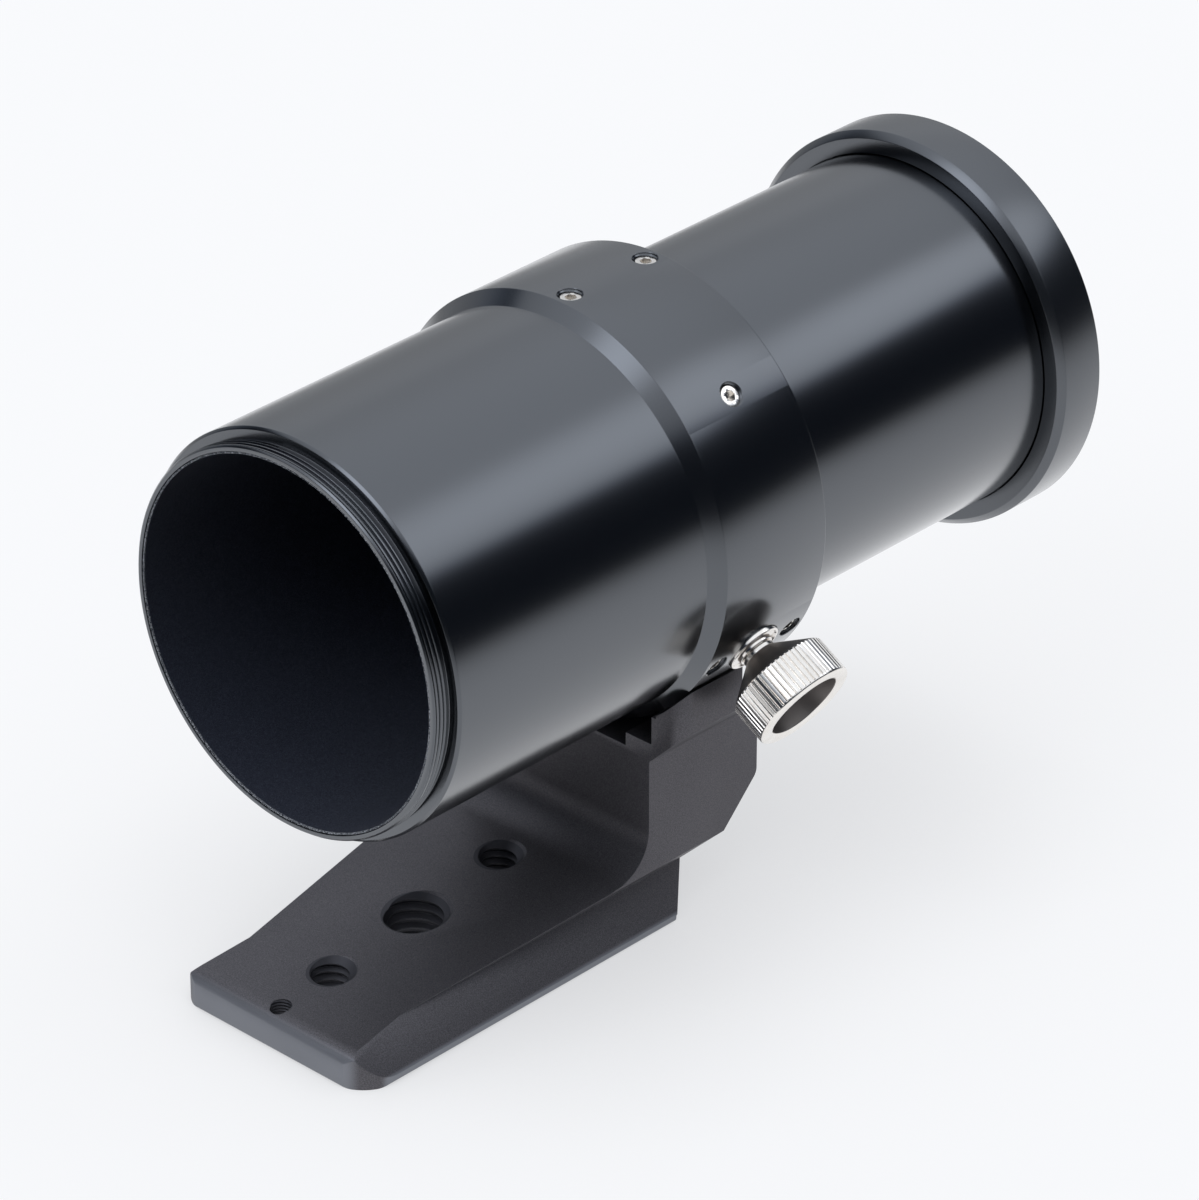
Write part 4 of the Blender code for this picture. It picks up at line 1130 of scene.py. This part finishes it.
def foot_side_outline():
    """Side view of the foot."""
    stem_top_rear = STEM_REAR - STEM_CHAMFER_RUN
    return rounded([
        (FOOT_LOW.y, 0.0, PLATE_EDGE_ROUND),
        (FOOT_LOW.y, PLATE_NOSE_HEIGHT, PLATE_NOSE_ROUND),
        (STEM_FRONT, plate_top(STEM_FRONT), STEM_FRONT_FILLET),
        (STEM_FRONT, AXIS_HEIGHT, 0.0),
        (stem_top_rear, AXIS_HEIGHT, 0.0),
        (stem_top_rear, STEM_TOP, 0.0),
        (STEM_REAR, STEM_TOP - STEM_CHAMFER_DROP, 0.0),
        (STEM_REAR, PLATE_END_HEIGHT + STEM_REAR - PLATE_REAR, STEM_REAR_ROUND),
        (PLATE_REAR, PLATE_END_HEIGHT, 0.0),
        (PLATE_REAR, 0.0, PLATE_REAR_ROUND),
    ])


def foot_cross_outline():
    """End view of the foot: clamp groove, stem, flared cheeks and stepped cradle."""
    cradle_radius = COLLAR_RADIUS + CRADLE_GAP
    land_end = RIDGE_HALF_WIDTH + RIDGE_LAND
    ridge_top = AXIS_HEIGHT - math.sqrt(cradle_radius**2 - RIDGE_HALF_WIDTH**2)
    start = -math.acos(land_end / CHEEK_RADIUS)
    end = -math.acos(CHEEK_HALF_WIDTH / CHEEK_RADIUS)
    flare = CHEEK_HALF_WIDTH - PLATE_HALF_WIDTH
    edge = (PLATE_HALF_WIDTH - PLATE_EDGE_ROUND, PLATE_EDGE_ROUND)
    return mirrored([
        (0.0, 0.0),
        *arc(edge, PLATE_EDGE_ROUND, -math.pi / 2.0, 0.0),
        (PLATE_HALF_WIDTH, CLAMP_LIP),
        (PLATE_HALF_WIDTH - CLAMP_DEPTH, CLAMP_NECK),
        (PLATE_HALF_WIDTH, CLAMP_NECK + CLAMP_DEPTH),
        (PLATE_HALF_WIDTH, STEM_TOP),
        (CHEEK_HALF_WIDTH, STEM_TOP + flare),
        *reversed(arc((0.0, AXIS_HEIGHT), CHEEK_RADIUS, start, end)),
        (land_end, ridge_top),
        (RIDGE_HALF_WIDTH, ridge_top),
        (RIDGE_HALF_WIDTH, LEDGE_HEIGHT),
        (FLOOR_HALF_WIDTH, LEDGE_HEIGHT),
        (FLOOR_HALF_WIDTH, AXIS_HEIGHT - cradle_radius),
        (0.0, AXIS_HEIGHT - cradle_radius),
    ])


def foot_plan_outline():
    """Top view that rounds the plate's front corners and the cheeks' edges."""
    plate = (PLATE_HALF_WIDTH - PLATE_CORNER, FOOT_LOW.y + PLATE_CORNER)
    cheek = (CHEEK_HALF_WIDTH - CHEEK_ROUND, STEM_FRONT + CHEEK_ROUND)
    outside = CHEEK_HALF_WIDTH + OVERCUT
    stem_top_rear = STEM_REAR - STEM_CHAMFER_RUN
    chamfer_end = stem_top_rear - (CHEEK_HALF_WIDTH - PLATE_HALF_WIDTH)
    return mirrored([
        (0.0, FOOT_LOW.y - OVERCUT),
        (plate[0], FOOT_LOW.y - OVERCUT),
        *arc(plate, PLATE_CORNER, -math.pi / 2.0, 0.0),
        (outside, plate[1]),
        (outside, STEM_FRONT - OVERCUT),
        (cheek[0], STEM_FRONT - OVERCUT),
        *arc(cheek, CHEEK_ROUND, -math.pi / 2.0, 0.0),
        (outside, cheek[1]),
        (outside, chamfer_end - OVERCUT),
        (PLATE_HALF_WIDTH + WELD, stem_top_rear),
        (PLATE_HALF_WIDTH + WELD, STEM_REAR + OVERCUT),
        (0.0, STEM_REAR + OVERCUT),
    ])


def make_foot():
    """Clamp plate, stem and cradle, with threaded tripod holes."""
    wide = CHEEK_HALF_WIDTH + OVERCUT
    length = (FOOT_LOW.y - OVERCUT, STEM_REAR + OVERCUT)
    height = (-OVERCUT, AXIS_HEIGHT + OVERCUT)
    side_mesh = prism_mesh("dovetail_foot", foot_side_outline(), -wide, wide, "X")
    end_mesh = prism_mesh("end_view", foot_cross_outline(), *length, "Y")
    top_mesh = prism_mesh("top_view", foot_plan_outline(), *height, "Z")
    piece = new_object("dovetail_foot", side_mesh)
    cut(piece, [new_object("end_view", end_mesh), new_object("top_view", top_mesh)], "INTERSECT")
    soften = piece.modifiers.new("edges", "BEVEL")
    soften.width = FOOT_EDGE
    soften.segments = 2
    soften.limit_method = "ANGLE"
    soften.angle_limit = FOOT_EDGE_ANGLE
    soften.use_clamp_overlap = True
    apply_modifiers(piece)
    tools = []
    for name, (along, radius, pitch, depth, mouth) in PLATE_HOLES.items():
        place = Matrix.Translation((0.0, along, 0.0))
        rim = plate_top(along) + (PIN_MOUTH_RISE if name == "pin" else 0.0)
        tools.append(threaded_hole_tool(name, radius, depth, -OVERCUT, rim, mouth, pitch, place))
    cut(piece, tools)
    shade_round(piece.data)
    finish = blasted_anodised("blasted foot")
    return dress(piece, finish, "barrel", "blasted_anodised", "tripod_foot")


def finish_inner_nodes():
    """The hidden pieces, which stay as the frame has them, get their finish."""
    finishes = {
        "guide_ring": plain_hidden("black acetal", ACETAL, 0.5, 0.0),
        "clamp_pad": plain_hidden("turned brass", BRASS, 0.35, 1.0),
        "foot_screw_front": plain_hidden("black steel", BLACK_STEEL, 0.45, 0.9),
    }
    finishes["foot_screw_rear"] = finishes["foot_screw_front"]
    for node, finish in finishes.items():
        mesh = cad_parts[node].data
        mesh.materials.clear()
        mesh.materials.append(finish)


def make_floor():
    """A plain pale table top: it glows for the camera and, near the object, for reflections; near the
    object a painted shadow darkens its glow for the camera.
    """
    work = bmesh.new()
    bmesh.ops.create_circle(work, cap_ends=True, radius=FLOOR_RADIUS, segments=FLOOR_SEGMENTS)
    mesh = bpy.data.meshes.new("floor")
    work.to_mesh(mesh)
    work.free()
    floor = new_object("floor", mesh, Matrix.Translation((0.0, 0.0, FOOT_LOW.z)))
    made, tree, shader = new_material("pale floor")
    set_inputs(shader, Base_Color=FLOOR_PAINT, Roughness=0.9, Specular_IOR_Level=0.0)
    path = add_node(tree, "ShaderNodeLightPath")
    away = add_node(tree, "ShaderNodeVectorMath", operation="LENGTH")
    feed(tree, object_place(tree), away.inputs[0])
    fading = ramp(tree, away.outputs["Value"], FLOOR_NEAR, FLOOR_FAR, 1.0, FLOOR_FAR_SHARE)
    mirrored_share = maths(tree, "MULTIPLY", path.outputs["Is Glossy Ray"], fading)
    # The floor's ambient occlusion darkens its glow for the camera: a painted shadow near the object.
    contact_shadow_occlusion = add_node(tree, "ShaderNodeAmbientOcclusion")
    set_inputs(contact_shadow_occlusion, Distance=FLOOR_SHADE_REACH)
    shade = ramp(tree, contact_shadow_occlusion.outputs["AO"], FLOOR_SHADE_LOW, 1.0, FLOOR_SHADE, 1.0)
    seen_share = maths(tree, "MULTIPLY", path.outputs["Is Camera Ray"], shade)
    share = maths(tree, "MAXIMUM", seen_share, mirrored_share)
    set_inputs(shader, Emission_Color=FLOOR_GLOW)
    feed(tree, maths(tree, "MULTIPLY", share, FLOOR_LIFT), shader.inputs["Emission Strength"])
    mesh.materials.append(made)


def level_direction(azimuth, elevation=0.0):
    """Unit vector at an azimuth from -Y towards +X and an elevation."""
    flat = math.cos(elevation)
    return Vector((math.sin(azimuth) * flat, -math.cos(azimuth) * flat, math.sin(elevation)))


def dot_with(tree, vector, direction):
    """Dot product of a socket with a fixed direction."""
    made = add_node(tree, "ShaderNodeVectorMath", operation="DOT_PRODUCT")
    feed(tree, vector, made.inputs[0])
    made.inputs[1].default_value = direction
    return made.outputs["Value"]


def light_room():
    """A pale tent overhead with a glow behind the barrel and a small bright panel in front of it.

    Below the tent's edge it is dim, but for a pale card at the left.
    """
    world = bpy.data.worlds.new("light tent")
    world.use_nodes = True
    bpy.context.scene.world = world
    tree = world.node_tree
    direction = add_node(tree, "ShaderNodeTexCoord").outputs["Generated"]
    height = dot_with(tree, direction, Vector((0.0, 0.0, 1.0)))
    tent = ramp(tree, height, TENT_EDGE - TENT_EDGE_SOFTNESS, TENT_EDGE + TENT_EDGE_SOFTNESS)
    side = dot_with(tree, direction, level_direction(SIDE_CARD_AZIMUTH))
    lit_side = ramp(tree, side, *SIDE_CARD_WIDTH)
    card_level = ramp(tree, height, *SIDE_CARD_RISE, SIDE_CARD_LOW, SIDE_CARD_HIGH)
    low = maths(tree, "ADD", maths(tree, "MULTIPLY", lit_side, card_level), DIM_LEVEL)
    nearness = dot_with(tree, direction, level_direction(GLOW_AZIMUTH, GLOW_ELEVATION))
    glow = maths(tree, "MULTIPLY", ramp(tree, nearness, *GLOW_WIDTH), GLOW_LEVEL)
    above = maths(tree, "ADD", glow, ramp(tree, height, *TENT_RISE, TENT_LEVEL, TENT_TOP_LEVEL))
    level = add_node(tree, "ShaderNodeMix", data_type="FLOAT")
    feed(tree, tent, level.inputs["Factor"])
    feed(tree, low, level.inputs["A"])
    feed(tree, above, level.inputs["B"])
    key_nearness = dot_with(tree, direction, level_direction(KEY_AZIMUTH, KEY_ELEVATION))
    keyness = ramp(tree, key_nearness, KEY_EDGE, KEY_CORE)
    key = maths(tree, "MULTIPLY", keyness, KEY_LEVEL)
    tint = mix_colour(tree, maths(tree, "MAXIMUM", tent, lit_side), DIM_TINT, TENT_TINT)
    shade = tree.nodes["Background"]
    feed(tree, mix_colour(tree, keyness, tint, KEY_TINT), shade.inputs["Color"])
    feed(tree, maths(tree, "ADD", level.outputs["Result"], key), shade.inputs["Strength"])
    plain = add_node(tree, "ShaderNodeBackground")
    set_inputs(plain, Color=BACKGROUND)
    path = add_node(tree, "ShaderNodeLightPath")
    pick = add_node(tree, "ShaderNodeMixShader")
    feed(tree, path.outputs["Is Camera Ray"], pick.inputs["Fac"])
    feed(tree, shade.outputs[0], pick.inputs[1])
    feed(tree, plain.outputs[0], pick.inputs[2])
    feed(tree, pick.outputs[0], tree.nodes["World Output"].inputs["Surface"])


add_camera()
light_room()
make_floor()
make_barrel()
make_sleeve(
    "front_flock_sleeve",
    FRONT_FLOCK_LOW,
    FRONT_FLOCK_HIGH,
    "barrel",
    "front_lining",
    FRONT_FLOCK_LOW.y,
)
make_draw_tube()
make_sleeve("tube_flock_sleeve", TUBE_FLOCK_LOW, TUBE_FLOCK_HIGH, "draw_tube", "draw_tube_lining")
make_end_ring()
make_set_screws()
make_bush()
make_thumb_screw()
make_foot()
finish_inner_nodes()
bpy.context.scene.view_settings.view_transform = "Standard"
